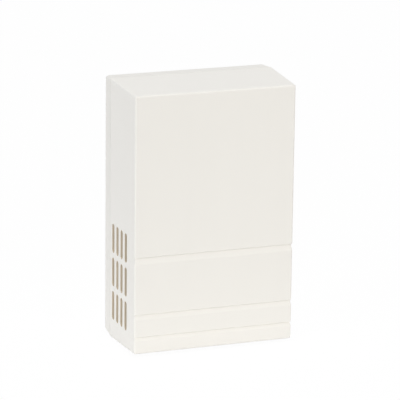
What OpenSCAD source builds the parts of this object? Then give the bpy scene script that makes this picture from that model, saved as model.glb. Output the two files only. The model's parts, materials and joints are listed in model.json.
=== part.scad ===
// Doorbell chime box: a two-note striker chime in a wall-hung case.
// Millimetres. X is to the right, Y goes into the wall and Z is up.
// The back of the case lies on the wall, the plane y = 0, and the origin is the middle of that face.

/* [Case] */
// Width at the parting line between the cover and the base tray
case_w = 108.4; // [104:0.2:124]
// Height at the parting line
case_h = 170; // [164:1:190]
// Depth from the wall to the front face
case_d = 58; // [54:0.5:72]
// Depth of the base tray, from the wall to the parting line
tray_d = 13.2; // [11:0.2:16]
// Draft of the cover's left and right sides, in degrees
side_draft = 1.5; // [0.5:0.1:3]
// Draft of the cover's top and bottom, in degrees
end_draft = 2.2; // [0.5:0.1:3]
// Draft of the base tray's walls, in degrees
tray_draft = 3.6; // [0.5:0.1:6]
// Thickness of the cover's sides
cover_wall = 2; // [1.5:0.1:3]
// Thickness of the cover's front
cover_front = 2.6; // [2:0.1:4]
// Rounding of the edges round the cover's front
edge_r = 1.2; // [0.4:0.1:2.5]
// Thickness of the tray's floor
tray_floor = 2.5; // [2:0.1:4]
// Height of the tray's lip inside the cover
lip_h = 3; // [2:0.1:4]
// Thickness of the lip
lip_t = 1.6; // [1.2:0.1:2.4]
// Clearance between the lip and the cover
lip_gap = 0.25; // [0.22:0.01:0.5]
// Height of the ribs on the lip that grip the cover
grip_proud = 0.2; // [0.05:0.01:0.2]
// Length of a grip rib
grip_l = 14; // [6:1:24]
// Open seam between the cover and the tray
seam = 0.25; // [0.1:0.05:0.6]

/* [Front grooves] */
// Depth of a groove
groove_depth = 0.9; // [0.4:0.05:1.6]
// Height of the steep face at the top of a groove
groove_lip = 0.6; // [0.2:0.05:1]
// How far a groove runs round on to the side
groove_return = 9; // [4:0.1:11]
// Top of the upper groove above the foot of the case
upper_groove = 64.9; // [50:0.1:75]
// Height of the upper groove
upper_groove_h = 4.6; // [2.5:0.1:6]
// Top of the middle groove above the foot of the case
middle_groove = 27.7; // [22:0.1:35]
// Height of the middle groove
middle_groove_h = 3.7; // [2.5:0.1:6]
// Top of the lower groove above the foot of the case
lower_groove = 13; // [10:0.1:17]
// Height of the lower groove
lower_groove_h = 2.8; // [2:0.1:6]

/* [Sound slots] */
// Width of a slot
slot_w = 4; // [2:0.1:4.5]
// Length of a slot
slot_l = 19; // [12:0.1:20.5]
// Slots in a row
slot_columns = 4; // [1:1:4]
// Rows of slots
slot_rows = 3; // [1:1:4]
// Spacing of the slots in a row
slot_pitch = 7.6; // [6:0.05:8]
// Spacing of the rows
slot_row_pitch = 22.3; // [21.5:0.1:26]
// From the front face to the middle of the first slot
slot_front = 15.9; // [10:0.1:16]
// Lowest slots above the foot of the case
slot_low = 13.1; // [8:0.1:20]

/* [Tone bars] */
// Thickness of a tone bar
bar_t = 2; // [1.5:0.1:3]
// Width of a tone bar
bar_w = 24; // [16:0.5:30]
// Length of the low bar
low_bar_l = 140; // [120:1:150]
// Length of the high bar
high_bar_l = 125; // [100:1:150]
// Rounding of a bar's corners
bar_corner_r = 2; // [0.5:0.1:4]
// From a bar's end to its still point, as a share of its length
bar_still = 0.224; // [0.2:0.001:0.25]
// Gap between a bar and the cover's side, at the parting line
bar_gap = 4.7; // [4:0.1:8]
// Radius of a grommet's rims
grommet_r = 5.6; // [5:0.1:8]
// Radius of a grommet's waist, in the bar's hole
grommet_waist_r = 4; // [3.2:0.1:4.6]
// How far a grommet stands out on each side of the bar
grommet_proud = 2; // [1:0.1:3]
// Radius of a pin
pin_r = 2; // [1:0.1:2.6]
// Radius of a pin's head
pin_head_r = 3.6; // [2.8:0.1:5]
// Thickness of a pin's head
pin_head_t = 1.2; // [0.8:0.1:1.6]
// Thickness of a post that carries a pin
post_t = 3; // [2:0.1:4]
// Width of a post
post_w = 11; // [8:0.5:16]
// Rounding of a post's free end
post_r = 3; // [1:0.5:4]
// How far a post runs past the pin
post_over = 6; // [4:0.5:10]
// Foot of the web that stiffens a post
web_l = 8; // [4:0.5:9]
// Height of the web
web_h = 14; // [6:0.5:20]
// Thickness of the web
web_t = 2; // [1.5:0.1:4]

/* [Coils] */
// Length between the end plates of a coil's frame
coil_l = 38; // [34:0.5:42]
// Radius of a spool's flanges
flange_r = 12.5; // [10:0.1:14]
// Thickness of a flange
flange_t = 1.5; // [1:0.1:2.5]
// How far the winding stays inside the flanges
winding_inset = 1; // [0.4:0.1:2.5]
// Thickness of the spool's tube
tube_t = 1.4; // [1:0.1:2]
// How far the spool's ends stand out of the frame
snout_l = 1; // [0.5:0.1:2]
// Length of the narrow guide in the spool's right end
guide_l = 5.6; // [3:0.1:7]
// Thickness of the frame's sheet
yoke_t = 1.6; // [1:0.1:2.5]
// How far the end plates reach past the flanges
yoke_margin = 1.5; // [0.5:0.1:4]
// Rounding of an end plate's free corners
yoke_corner_r = 2; // [0.5:0.1:4]
// Gap between the flanges and the frame's back
yoke_gap = 0.5; // [0.2:0.1:2]
// Length of a frame's foot
foot_l = 9; // [8:0.5:10]
// Width of a frame's foot
foot_w = 12; // [9:0.5:20]
// Gap between the two frames
coil_gap = 7; // [5:0.5:12]
// Height of the bosses that carry the frames
boss_h = 10.9; // [7:0.1:14]
// Radius of those bosses
boss_r = 4; // [3:0.1:6]
// Running clearance of the plunger in its spool
run_gap = 0.1; // [0.05:0.01:0.1]
// Clearance between fitted pieces that don't move
fit_gap = 0.05; // [0.03:0.01:0.1]

/* [Plungers] */
// Radius of the steel core
core_r = 4; // [3:0.1:5]
// Length of the core
core_l = 42; // [38:0.5:46]
// Chamfer on the core's ends
core_chamfer = 0.4; // [0.1:0.1:1]
// Gap from the left tip to the low bar at rest
rest_gap = 3; // [2:0.1:5]
// Gap from the right tip to the high bar at rest
strike_gap = 8; // [5:0.1:9]
// Length of the left tip
tip_l = 4; // [3:0.1:6]
// Radius of the left tip
tip_r = 2.5; // [1.5:0.1:3]
// Radius of the right rod
rod_r = 2.2; // [1.6:0.1:2.8]
// Radius of the flange that holds the spring
cap_r = 6.2; // [6:0.1:8]
// Thickness of that flange
cap_t = 1.5; // [1:0.1:2.5]
// Radius of the spigots pressed into the core
spigot_r = 1.5; // [0.8:0.1:1.6]
// Length of a spigot
spigot_l = 5; // [3:0.1:8]
// Radius of the rear rod's stop flange
stop_r = 4.2; // [3.5:0.1:6]
// Thickness of the stop flange
stop_t = 1.5; // [1:0.1:3]
// Radius of the rubber stop washer
washer_r = 4.6; // [4:0.1:6]
// Thickness of the stop washer
washer_t = 1.5; // [1:0.1:3]

/* [Springs] */
// Wire of a return spring
spring_wire = 0.8; // [0.5:0.1:1]
// Turns of a return spring
spring_turns = 7; // [4:1:8]
// Clearance between the spring and the core
spring_gap = 0.55; // [0.3:0.05:0.8]

/* [Terminals] */
// Number of terminals
terminal_count = 3; // [2:1:4]
// Spacing of the terminals
terminal_pitch = 15; // [13:0.5:16]
// Thickness of the walls between them
barrier_t = 2; // [1.5:0.1:3]
// Depth of the channels that hold the plates
channel_depth = 3; // [2:0.1:4]
// Height of the terminal block
block_h = 16; // [12:0.5:20]
// Thickness of the terminal block
block_t = 9.5; // [8.5:0.1:14]
// Gap behind the block
block_lift = 8; // [7:0.5:12]
// Length of the block's ears
ear_l = 7.5; // [7:0.1:9]
// Thickness of a terminal plate
plate_t = 1; // [0.6:0.1:1.5]
// Gap round a plate in its channel
plate_gap = 0.5; // [0.2:0.1:1.5]
// Width of a solder tag
tag_w = 4; // [3:0.1:6]
// Length of a solder tag
tag_l = 5; // [4:0.1:6]
// Side of a square clamp washer
clamp_w = 8.5; // [7.5:0.1:10]
// Thickness of a clamp washer
clamp_t = 0.8; // [0.5:0.1:1.2]

/* [Screws] */
// Shank radius of the terminal screws
terminal_screw_r = 1.75; // [1.2:0.05:2]
// Length of the terminal screws under the head
terminal_screw_l = 6; // [4:0.1:7]
// Head radius of the terminal screws
terminal_head_r = 3.2; // [2.6:0.1:3.6]
// Head thickness of the terminal screws
terminal_head_t = 2.2; // [1.5:0.1:3]
// Shank radius of the screws that hold the frames and the block
fix_screw_r = 1.4; // [1:0.05:1.6]
// Length of the frame screws under the head
yoke_screw_l = 8; // [6:0.5:10]
// Length of the block screws under the head
block_screw_l = 14; // [12:0.5:15]
// Head radius of those screws
fix_head_r = 3; // [2.4:0.1:3.4]
// Head thickness of those screws
fix_head_t = 2; // [1.4:0.1:2.6]
// Width of the slot in a screw's head
drive_w = 0.8; // [0.5:0.1:1]
// Depth of that slot
drive_depth = 0.9; // [0.5:0.1:1.2]

/* [Wall fixing] */
// Radius of the holes for the wall screws
fixing_r = 2.3; // [1.8:0.1:3]
// From the top or the foot of the case to a wall screw
fixing_in = 12; // [11:0.5:20]
// Radius of the pad round a wall screw's hole
fixing_pad_r = 6; // [5:0.1:7]
// Height of that pad
fixing_pad_h = 1.5; // [0.5:0.1:3]
// Width of the opening for the house wires
entry_w = 22; // [16:0.5:22]
// Height of that opening
entry_h = 12; // [8:0.5:12]
// Rounding of its corners
entry_r = 2; // [0.5:0.1:4]
// Gap between the upper frame and the opening
entry_gap = 4.5; // [3:0.1:8]
// Gap between the opening and the terminal block
block_gap = 4; // [2:0.1:8]

/* [Leads] */
// Diameter of a coil's lead
lead_d = 1; // [0.8:0.1:1.2]

/* [Hidden] */
$fn = 48;

// How far a cutting shape runs past what it cuts
spare = 1;
// Straight steps along a rounded edge
arc_steps = 6;
// Straight steps round the end of a slot
slot_end_steps = 10;
// Sides of a swept tube, and rings in one turn of a spring
tube_sides = 8;
spring_sides = 6;
turn_rings = 8;
// Steps between the chosen points of a lead
front_lead_steps = 4;
rear_lead_steps = 2;

// Case
front_y = -case_d;
part_y = -tray_d;
floor_y = -tray_floor;
foot_z = -case_h / 2;
lip_y = part_y - lip_h;
lip_hw = cover_half_w(lip_y) - cover_wall - lip_gap;
lip_hh = cover_half_h(lip_y) - cover_wall - lip_gap;
pocket_hw = lip_hw - lip_t;
pocket_hh = lip_hh - lip_t;
slot_row_z = foot_z + slot_low + slot_l / 2;

// Coils, seen from the plungers' axis
tube_bore_r = core_r + run_gap;
tube_r = tube_bore_r + tube_t;
guide_r = rod_r + run_gap;
winding_r = flange_r - winding_inset;
yoke_half_h = flange_r + yoke_margin;
flange_out = coil_l / 2 - fit_gap;
flange_in = flange_out - flange_t;
yoke_out = coil_l / 2 + yoke_t;
snout_x = yoke_out + snout_l;
foot_x = yoke_out + foot_l / 2;
yoke_back_y = floor_y - boss_h;
yoke_face_y = yoke_back_y - yoke_t;
axis_y = yoke_face_y - yoke_gap - flange_r;
yoke_front_y = axis_y - yoke_half_h;
front_z = yoke_half_h + coil_gap / 2;
rear_z = -front_z;

// Tone bars
bar_in_x = case_w / 2 - cover_wall - bar_gap - bar_t;
post_out_x = bar_in_x - grommet_proud;
post_in_x = post_out_x - post_t;
grommet_l = bar_t + 2 * grommet_proud;

// Plungers
left_tip_x = rest_gap - bar_in_x;
cap_x = left_tip_x + tip_l;
core_left_x = cap_x + cap_t;
core_right_x = core_left_x + core_l;
right_tip_x = bar_in_x - strike_gap;
stop_x = snout_x + washer_t;
spring_r = core_r + spring_gap + spring_wire / 2;
spring_left_x = core_left_x + spring_wire / 2 + fit_gap;
spring_right_x = -snout_x - spring_wire / 2 - fit_gap;

// Wall fixing and terminals
fixing_z = case_h / 2 - fixing_in;
entry_z = front_z + yoke_half_h + entry_gap + entry_h / 2;
block_low_z = entry_z + entry_h / 2 + block_gap;
block_z = block_low_z + block_h / 2;
block_back_y = floor_y - block_lift;
block_front_y = block_back_y - block_t;
channel_y = block_front_y + channel_depth;
plate_y = channel_y - plate_t;
clamp_y = plate_y - clamp_t;
block_hw = terminal_count * terminal_pitch / 2 + barrier_t / 2 + ear_l;
ear_x = block_hw - ear_l / 2;
terminal_xs = [for (i = [0:terminal_count - 1]) (i - (terminal_count - 1) / 2) * terminal_pitch];

// Routes of the leads, from the winding to the tag
front_lead_routes = [
    [
        [-14, -28, 29.3], [-14, -28, 33], [-14.5, -25, 39],
        [-15, -20.5, 44.5], [-15, -18.6, 48], [-15, -18.6, 50.5]
    ],
    [
        [-8, -28, 29.3], [-8, -28, 33], [-5, -25.5, 39],
        [-1.5, -20.5, 44.5], [-1, -18.6, 48], [-1, -18.6, 50.5]
    ]
];
rear_lead_routes = [
    [
        [14, -28, -5.7], [14, -27.5, -3], [14, -24, 0], [14, -18, 0], [14, -12, 0],
        [14, -7, 1.5], [14, -4, 5.5], [14, -3.2, 12], [14, -3.2, 23], [14, -3.2, 34],
        [14.3, -5.5, 41], [15, -11, 45.5], [15, -16, 48], [15, -16.4, 50.5]
    ],
    [
        [9, -28, -5.7], [9, -27.5, -3], [9.5, -24, 0], [11, -18, 0], [12, -12, 0],
        [12.3, -7, 1.5], [12.4, -4, 5.5], [12.4, -3.2, 12], [12.4, -3.2, 23], [12.4, -3.2, 34],
        [12.2, -6, 41], [8, -12, 45.5], [2.5, -15.8, 48], [1, -16.4, 50.5]
    ]
];

// Half width and half height of the drafted cover, and of the drafted tray, at a depth
function cover_half_w(y) = case_w / 2 - (part_y - y) * tan(side_draft);
function cover_half_h(y) = case_h / 2 - (part_y - y) * tan(end_draft);
function tray_half_w(y) = case_w / 2 - (y - part_y) * tan(tray_draft);
function tray_half_h(y) = case_h / 2 - (y - part_y) * tan(tray_draft);

function unit(v) = v / norm(v);
function swap(points) = [for (p = points) [p.y, p.x]];

// Arc of radius r that rounds the corner b between a and c
function corner_arc(a, b, c, r) =
    let (
        u = unit(a - b),
        v = unit(c - b),
        half = acos(u * v) / 2,
        centre = b + unit(u + v) * r / sin(half),
        start = b + u * r / tan(half) - centre,
        end = b + v * r / tan(half) - centre,
        from = atan2(start.y, start.x),
        turn = (atan2(end.y, end.x) - from + 540) % 360 - 180
    )
    [
        for (i = [0:arc_steps])
            let (angle = from + turn * i / arc_steps)
            centre + r * [cos(angle), sin(angle)]
    ];

// Outline with every corner rounded
function rounded(points, r) =
    let (n = len(points))
    [for (i = [0:n - 1]) each corner_arc(points[(i + n - 1) % n], points[i], points[(i + 1) % n], r)];

function rectangle(w, h) = [[-w / 2, -h / 2], [w / 2, -h / 2], [w / 2, h / 2], [-w / 2, h / 2]];

// Outline from a half width at one depth to another at a further depth, with the two far corners rounded
function drafted(half_a, y_a, half_b, y_b, r) =
    let (a = [half_a, y_a], b = [half_b, y_b], c = [-half_b, y_b], d = [-half_a, y_a])
    r > 0 ? concat([d, a], corner_arc(a, b, c, r), corner_arc(b, c, d, r)) : [d, a, b, c];

// Upright slot with round ends
function slot_outline(w, l) = [
    for (end = [0, 180]) for (i = [0:slot_end_steps])
        let (angle = end + 180 * i / slot_end_steps)
        [w / 2 * cos(angle), w / 2 * sin(angle) + (end == 0 ? 1 : -1) * (l - w) / 2]
];

// Quarter circle that closes a round rod of radius r at x, where way is 1 to the right and -1 to the left
function dome(r, x, way) = [
    for (i = [0:arc_steps])
        let (angle = 90 * i / arc_steps)
        [r * cos(angle), x - way * r * (1 - sin(angle))]
];

// Smooth curve through the points of a route
function route_point(route, i) = route[max(0, min(len(route) - 1, i))];
function route_between(a, b, c, d, t) =
    0.5 * (2 * b + (c - a) * t + (2 * a - 5 * b + 4 * c - d) * t * t + (3 * b - a - 3 * c + d) * t * t * t);
function smooth_route(route, steps) = concat(
    [
        for (i = [0:len(route) - 2]) for (j = [0:steps - 1])
            route_between(
                route_point(route, i - 1), route[i], route[i + 1], route_point(route, i + 2), j / steps
            )
    ],
    [route[len(route) - 1]]
);

// Rings of a tube that follows a line of points
function tube_rings(line, r, sides) = [
    for (i = [0:len(line) - 1])
        let (
            ahead = unit(route_point(line, i + 1) - route_point(line, i - 1)),
            across = unit(cross(ahead, [1, 0, 0])),
            up = cross(ahead, across)
        )
        [for (k = [0:sides - 1]) line[i] + r * (cos(360 * k / sides) * across + sin(360 * k / sides) * up)]
];

// Line of a spring round the X axis
function spring_line() = [
    for (i = [0:spring_turns * turn_rings])
        let (angle = 360 * i / turn_rings, share = i / (spring_turns * turn_rings))
        [
            spring_left_x + (spring_right_x - spring_left_x) * share,
            spring_r * cos(angle),
            spring_r * sin(angle)
        ]
];
function spring_rings() =
    let (line = spring_line(), last = len(line) - 1)
    [
        for (i = [0:last])
            let (
                out = unit([0, line[i].y, line[i].z]),
                ahead = unit([
                    (spring_right_x - spring_left_x) / (spring_turns * 2 * PI * spring_r), -out.z, out.y
                ]),
                up = cross(ahead, out)
            )
            [
                for (k = [0:spring_sides - 1])
                    line[i] + spring_wire / 2
                        * (cos(360 * k / spring_sides) * out + sin(360 * k / spring_sides) * up)
            ]
    ];

// Least gap between one turn of the spring and the next, measured on its line
function spring_least_gap() =
    let (line = spring_line())
    min([
        for (i = [0:len(line) - 1]) for (j = [i + turn_rings / 2:1:len(line) - 1])
            norm(line[i] - line[j]) - spring_wire
    ]);
echo(spring_least_gap = spring_least_gap());

// Closed tube over a list of rings
module tube(rings) {
    sides = len(rings[0]);
    last = len(rings) - 1;
    polyhedron(
        points = [for (ring = rings) each ring],
        faces = concat(
            [
                for (i = [0:last - 1]) for (k = [0:sides - 1])
                    let (a = i * sides + k, b = i * sides + (k + 1) % sides)
                    each [[a, b, b + sides], [a, b + sides, a + sides]]
            ],
            [for (k = [1:sides - 2]) [0, k + 1, k]],
            [for (k = [1:sides - 2]) [last * sides, last * sides + k, last * sides + k + 1]]
        )
    );
}

// Solid turned round a line along X, from an outline of radius and X
module turned(y, z, outline) {
    translate([0, y, z]) rotate([0, 90, 0]) rotate_extrude() polygon(outline);
}

// Outline of depth and height, extruded along X from x
module along_x(x, l) {
    translate([x, 0, 0]) rotate([90, 0, 90]) linear_extrude(l) children();
}

// Shape whose own Z points out of the wall
module out_of_wall(x, y, z) {
    translate([x, y, z]) rotate([90, 0, 0]) children();
}

module both_sides() {
    children();
    mirror([1, 0, 0]) children();
}

// Solid where an outline of width and depth meets an outline of height and depth
module drafted_solid(plan, side) {
    intersection() {
        translate([0, 0, -case_h]) linear_extrude(2 * case_h) polygon(plan);
        along_x(-case_w, 2 * case_w) polygon(swap(side));
    }
}

module cover_solid(back, front, inset, r) {
    drafted_solid(
        drafted(cover_half_w(back) - inset, back, cover_half_w(front) - inset, front, r),
        drafted(cover_half_h(back) - inset, back, cover_half_h(front) - inset, front, r)
    );
}

// Screw seated at z = 0, with its head above
module screw(r, l, head_r, head_t) {
    difference() {
        union() {
            translate([0, 0, -l]) cylinder(h = l, r = r);
            cylinder(h = head_t, r = head_r);
        }
        translate([-head_r, -drive_w / 2, head_t - drive_depth]) cube([2 * head_r, drive_w, head_t]);
    }
}

// Cut of one groove: across the front, and round both corners until it fades out
module groove(top_z, height) {
    fade = atan(groove_depth / groove_return);
    along_x(-case_w, 2 * case_w) polygon([
        [front_y - spare, top_z],
        [front_y, top_z],
        [front_y + groove_depth, top_z - groove_lip],
        [front_y, top_z - height],
        [front_y - spare, top_z - height]
    ]);
    both_sides()
        translate([cover_half_w(front_y), front_y + groove_return, top_z])
        rotate([90, 0, -fade])
        linear_extrude(groove_return + 2 * spare)
        polygon([
            [groove_depth + spare, 0],
            [groove_depth, 0],
            [0, -groove_lip],
            [groove_depth, -height],
            [groove_depth + spare, -height]
        ]);
}

module cover() {
    color([0.93, 0.92, 0.89])
    difference() {
        cover_solid(part_y - seam, front_y, 0, edge_r);
        cover_solid(part_y + spare, front_y + cover_front, cover_wall, 0);
        groove(foot_z + upper_groove, upper_groove_h);
        groove(foot_z + middle_groove, middle_groove_h);
        groove(foot_z + lower_groove, lower_groove_h);
        both_sides()
            for (column = [0:slot_columns - 1], row = [0:slot_rows - 1])
                translate([
                    0, front_y + slot_front + column * slot_pitch, slot_row_z + row * slot_row_pitch
                ])
                along_x(case_w / 2 - 2 * cover_wall, 3 * cover_wall)
                polygon(slot_outline(slot_w, slot_l));
    }
}

// Two posts for one bar, on the right, each with its pin's hole
module bar_posts(l) {
    root_y = floor_y / 2;
    for (z = still_points(l)) translate([0, 0, z])
        difference() {
            union() {
                along_x(post_in_x, post_t)
                    polygon(swap(drafted(post_w / 2, root_y, post_w / 2, axis_y - post_over, post_r)));
                translate([0, 0, -web_t / 2]) linear_extrude(web_t) polygon([
                    [post_in_x + post_t / 2, root_y],
                    [post_in_x - web_l, root_y],
                    [post_in_x - web_l, floor_y],
                    [post_in_x, floor_y - web_h],
                    [post_in_x + post_t / 2, floor_y - web_h]
                ]);
            }
            turned(axis_y, 0, [
                [0, post_in_x - spare], [pin_r + fit_gap, post_in_x - spare],
                [pin_r + fit_gap, post_out_x + spare], [0, post_out_x + spare]
            ]);
        }
}

// Heights of the two points of a bar that stay still as it rings
function still_points(l) = [for (side = [-1, 1]) side * (l / 2 - bar_still * l)];

// Boss on the tray's floor, with a blind hole for a screw that reaches deep behind its seat
module boss(x, z, top_y, hole_depth) {
    difference() {
        out_of_wall(x, floor_y / 2, z) cylinder(h = floor_y / 2 - top_y, r = boss_r);
        out_of_wall(x, top_y + hole_depth, z) cylinder(h = hole_depth + spare, r = fix_screw_r + fit_gap);
    }
}

module base_tray() {
    color([0.92, 0.91, 0.88])
    difference() {
        union() {
            difference() {
                union() {
                    drafted_solid(
                        drafted(tray_half_w(part_y), part_y, tray_half_w(0), 0, 0),
                        drafted(tray_half_h(part_y), part_y, tray_half_h(0), 0, 0)
                    );
                    translate([-lip_hw, lip_y, -lip_hh]) cube([2 * lip_hw, lip_h + tray_d / 2, 2 * lip_hh]);
                }
                translate([-pocket_hw, lip_y - spare, -pocket_hh])
                    cube([2 * pocket_hw, floor_y - lip_y + spare, 2 * pocket_hh]);
            }
            both_sides()
                for (z = [-1, 1] * case_h / 4)
                    translate([lip_hw - lip_t / 2, part_y - 2 * lip_h / 3, z - grip_l / 2])
                    cube([lip_t / 2 + grip_proud, lip_h / 3, grip_l]);
            bar_posts(high_bar_l);
            mirror([1, 0, 0]) bar_posts(low_bar_l);
            both_sides() {
                for (z = [front_z, rear_z])
                    boss(foot_x, z, yoke_back_y, yoke_screw_l);
                boss(ear_x, block_z, block_back_y, block_screw_l - block_t + fit_gap);
            }
            for (side = [-1, 1])
                out_of_wall(0, floor_y / 2, side * fixing_z)
                    cylinder(h = fixing_pad_h - floor_y / 2, r = fixing_pad_r);
        }
        for (side = [-1, 1])
            out_of_wall(0, spare, side * fixing_z)
                cylinder(h = tray_floor + fixing_pad_h + 2 * spare, r = fixing_r);
        out_of_wall(0, spare, entry_z)
            linear_extrude(tray_floor + 2 * spare) polygon(rounded(rectangle(entry_w, entry_h), entry_r));
    }
}

// Tone bar on the right
module tone_bar(l) {
    difference() {
        along_x(bar_in_x, bar_t)
            translate([axis_y, 0]) polygon(rounded(rectangle(bar_w, l), bar_corner_r));
        for (z = still_points(l))
            translate([bar_in_x - spare, axis_y, z]) rotate([0, 90, 0])
            cylinder(h = bar_t + 2 * spare, r = grommet_waist_r + fit_gap);
    }
}

// Grommets of the bar on the right
module grommets(l) {
    bore = pin_r + fit_gap;
    for (z = still_points(l))
        turned(axis_y, z, [
            [bore, post_out_x],
            [grommet_r, post_out_x],
            [grommet_r, bar_in_x],
            [grommet_waist_r, bar_in_x],
            [grommet_waist_r, bar_in_x + bar_t],
            [grommet_r, bar_in_x + bar_t],
            [grommet_r, post_out_x + grommet_l],
            [bore, post_out_x + grommet_l]
        ]);
}

// Pins of the bar on the right
module pins(l) {
    seat = post_out_x + grommet_l;
    for (z = still_points(l))
        turned(axis_y, z, [
            [0, post_in_x], [pin_r, post_in_x],
            [pin_r, seat], [pin_head_r, seat],
            [pin_head_r, seat + pin_head_t], [0, seat + pin_head_t]
        ]);
}

module low_tone_bar() {
    color([0.74, 0.75, 0.77]) mirror([1, 0, 0]) tone_bar(low_bar_l);
}

module high_tone_bar() {
    color([0.74, 0.75, 0.77]) tone_bar(high_bar_l);
}

module low_bar_grommets() {
    color([0.12, 0.12, 0.12]) mirror([1, 0, 0]) grommets(low_bar_l);
}

module high_bar_grommets() {
    color([0.12, 0.12, 0.12]) grommets(high_bar_l);
}

module bar_pins() {
    color([0.8, 0.8, 0.82]) {
        pins(high_bar_l);
        mirror([1, 0, 0]) pins(low_bar_l);
    }
}

module bobbin(z) {
    turned(axis_y, z, [
        [tube_bore_r, -snout_x],
        [tube_r, -snout_x],
        [tube_r, -flange_out],
        [flange_r, -flange_out],
        [flange_r, -flange_in],
        [tube_r, -flange_in],
        [tube_r, flange_in],
        [flange_r, flange_in],
        [flange_r, flange_out],
        [tube_r, flange_out],
        [tube_r, snout_x],
        [guide_r, snout_x],
        [guide_r, snout_x - guide_l],
        [tube_bore_r, snout_x - guide_l]
    ]);
}

module winding(z) {
    turned(axis_y, z, [
        [tube_r + fit_gap, fit_gap - flange_in],
        [winding_r, fit_gap - flange_in],
        [winding_r, flange_in - fit_gap],
        [tube_r + fit_gap, flange_in - fit_gap]
    ]);
}

// Bent frame: a back with two feet, and an end plate at each end of the spool
module yoke(z) {
    translate([0, 0, z]) difference() {
        union() {
            translate([-yoke_out, yoke_face_y, -yoke_half_h]) cube([2 * yoke_out, yoke_t, 2 * yoke_half_h]);
            translate([-yoke_out - foot_l, yoke_face_y, -foot_w / 2])
                cube([2 * (yoke_out + foot_l), yoke_t, foot_w]);
            both_sides()
                along_x(coil_l / 2, yoke_t)
                polygon(swap(drafted(yoke_half_h, yoke_back_y, yoke_half_h, yoke_front_y, yoke_corner_r)));
        }
        translate([-yoke_out - spare, axis_y, 0]) rotate([0, 90, 0])
            cylinder(h = 2 * (yoke_out + spare), r = tube_r + fit_gap);
        both_sides()
            out_of_wall(foot_x, yoke_back_y + spare, 0)
            cylinder(h = yoke_t + 2 * spare, r = fix_screw_r + fit_gap);
    }
}

// Steel core with a blind hole for a spigot in each end
module core(z) {
    hole_r = spigot_r + fit_gap;
    hole_l = spigot_l + fit_gap;
    turned(axis_y, z, [
        [0, core_left_x + hole_l],
        [hole_r, core_left_x + hole_l],
        [hole_r, core_left_x],
        [core_r - core_chamfer, core_left_x],
        [core_r, core_left_x + core_chamfer],
        [core_r, core_right_x - core_chamfer],
        [core_r - core_chamfer, core_right_x],
        [hole_r, core_right_x],
        [hole_r, core_right_x - hole_l],
        [0, core_right_x - hole_l]
    ]);
}

// Outline of the flange that holds the spring, and of its spigot in the core
function cap_outline() = [
    [cap_r, cap_x],
    [cap_r, core_left_x],
    [spigot_r, core_left_x],
    [spigot_r, core_left_x + spigot_l],
    [0, core_left_x + spigot_l]
];

// Outline of the right rod's spigot and root
function rod_root_outline() = [
    [0, core_right_x - spigot_l],
    [spigot_r, core_right_x - spigot_l],
    [spigot_r, core_right_x],
    [rod_r, core_right_x]
];

module front_bobbin() {
    color([0.85, 0.83, 0.76]) bobbin(front_z);
}

module rear_bobbin() {
    color([0.85, 0.83, 0.76]) bobbin(rear_z);
}

module front_winding() {
    color([0.72, 0.4, 0.2]) winding(front_z);
}

module rear_winding() {
    color([0.72, 0.4, 0.2]) winding(rear_z);
}

module front_yoke() {
    color([0.7, 0.71, 0.73]) yoke(front_z);
}

module rear_yoke() {
    color([0.7, 0.71, 0.73]) yoke(rear_z);
}

module front_plunger() {
    color([0.6, 0.61, 0.63]) core(front_z);
}

module rear_plunger() {
    color([0.6, 0.61, 0.63]) core(rear_z);
}

module front_left_striker() {
    tip = dome(tip_r, left_tip_x, -1);
    color([0.9, 0.89, 0.84])
    turned(axis_y, front_z, concat(
        [for (i = [arc_steps:-1:0]) tip[i]],
        [[tip_r, cap_x]],
        cap_outline()
    ));
}

module front_right_striker() {
    color([0.9, 0.89, 0.84])
    turned(axis_y, front_z, concat(rod_root_outline(), dome(rod_r, right_tip_x, 1)));
}

module rear_spring_cap() {
    color([0.9, 0.89, 0.84]) turned(axis_y, rear_z, concat([[0, cap_x]], cap_outline()));
}

module rear_striker() {
    color([0.9, 0.89, 0.84])
    turned(axis_y, rear_z, concat(
        rod_root_outline(),
        [[rod_r, stop_x], [stop_r, stop_x], [stop_r, stop_x + stop_t], [rod_r, stop_x + stop_t]],
        dome(rod_r, right_tip_x, 1)
    ));
}

module rear_stop_washer() {
    color([0.15, 0.15, 0.15])
    turned(axis_y, rear_z, [
        [guide_r, snout_x], [washer_r, snout_x], [washer_r, stop_x], [guide_r, stop_x]
    ]);
}

module front_spring() {
    color([0.8, 0.81, 0.83]) translate([0, axis_y, front_z]) tube(spring_rings());
}

module rear_spring() {
    color([0.8, 0.81, 0.83]) translate([0, axis_y, rear_z]) tube(spring_rings());
}

module yoke_screws() {
    color([0.78, 0.77, 0.7])
    both_sides()
        for (z = [front_z, rear_z])
            out_of_wall(foot_x, yoke_face_y, z) screw(fix_screw_r, yoke_screw_l, fix_head_r, fix_head_t);
}

module terminal_block() {
    color([0.2, 0.2, 0.21])
    difference() {
        translate([-block_hw, block_front_y, block_low_z]) cube([2 * block_hw, block_t, block_h]);
        for (x = terminal_xs) {
            translate([x - (terminal_pitch - barrier_t) / 2, block_front_y - spare, block_low_z - spare])
                cube([terminal_pitch - barrier_t, channel_depth + spare, block_h + 2 * spare]);
            out_of_wall(x, clamp_y + terminal_screw_l + fit_gap, block_z)
                cylinder(h = terminal_screw_l + spare, r = terminal_screw_r + fit_gap);
        }
        both_sides()
            out_of_wall(ear_x, block_back_y + spare, block_z)
            cylinder(h = block_t + 2 * spare, r = fix_screw_r + fit_gap);
    }
}

module terminal_plates() {
    width = terminal_pitch - barrier_t - 2 * plate_gap;
    color([0.8, 0.66, 0.35])
    for (x = terminal_xs)
        difference() {
            union() {
                translate([x - width / 2, plate_y, block_low_z]) cube([width, plate_t, block_h]);
                translate([x - tag_w / 2, plate_y, block_low_z - tag_l])
                    cube([tag_w, plate_t, tag_l + spare]);
            }
            out_of_wall(x, channel_y + spare, block_z)
                cylinder(h = plate_t + 2 * spare, r = terminal_screw_r + fit_gap);
        }
}

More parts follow.
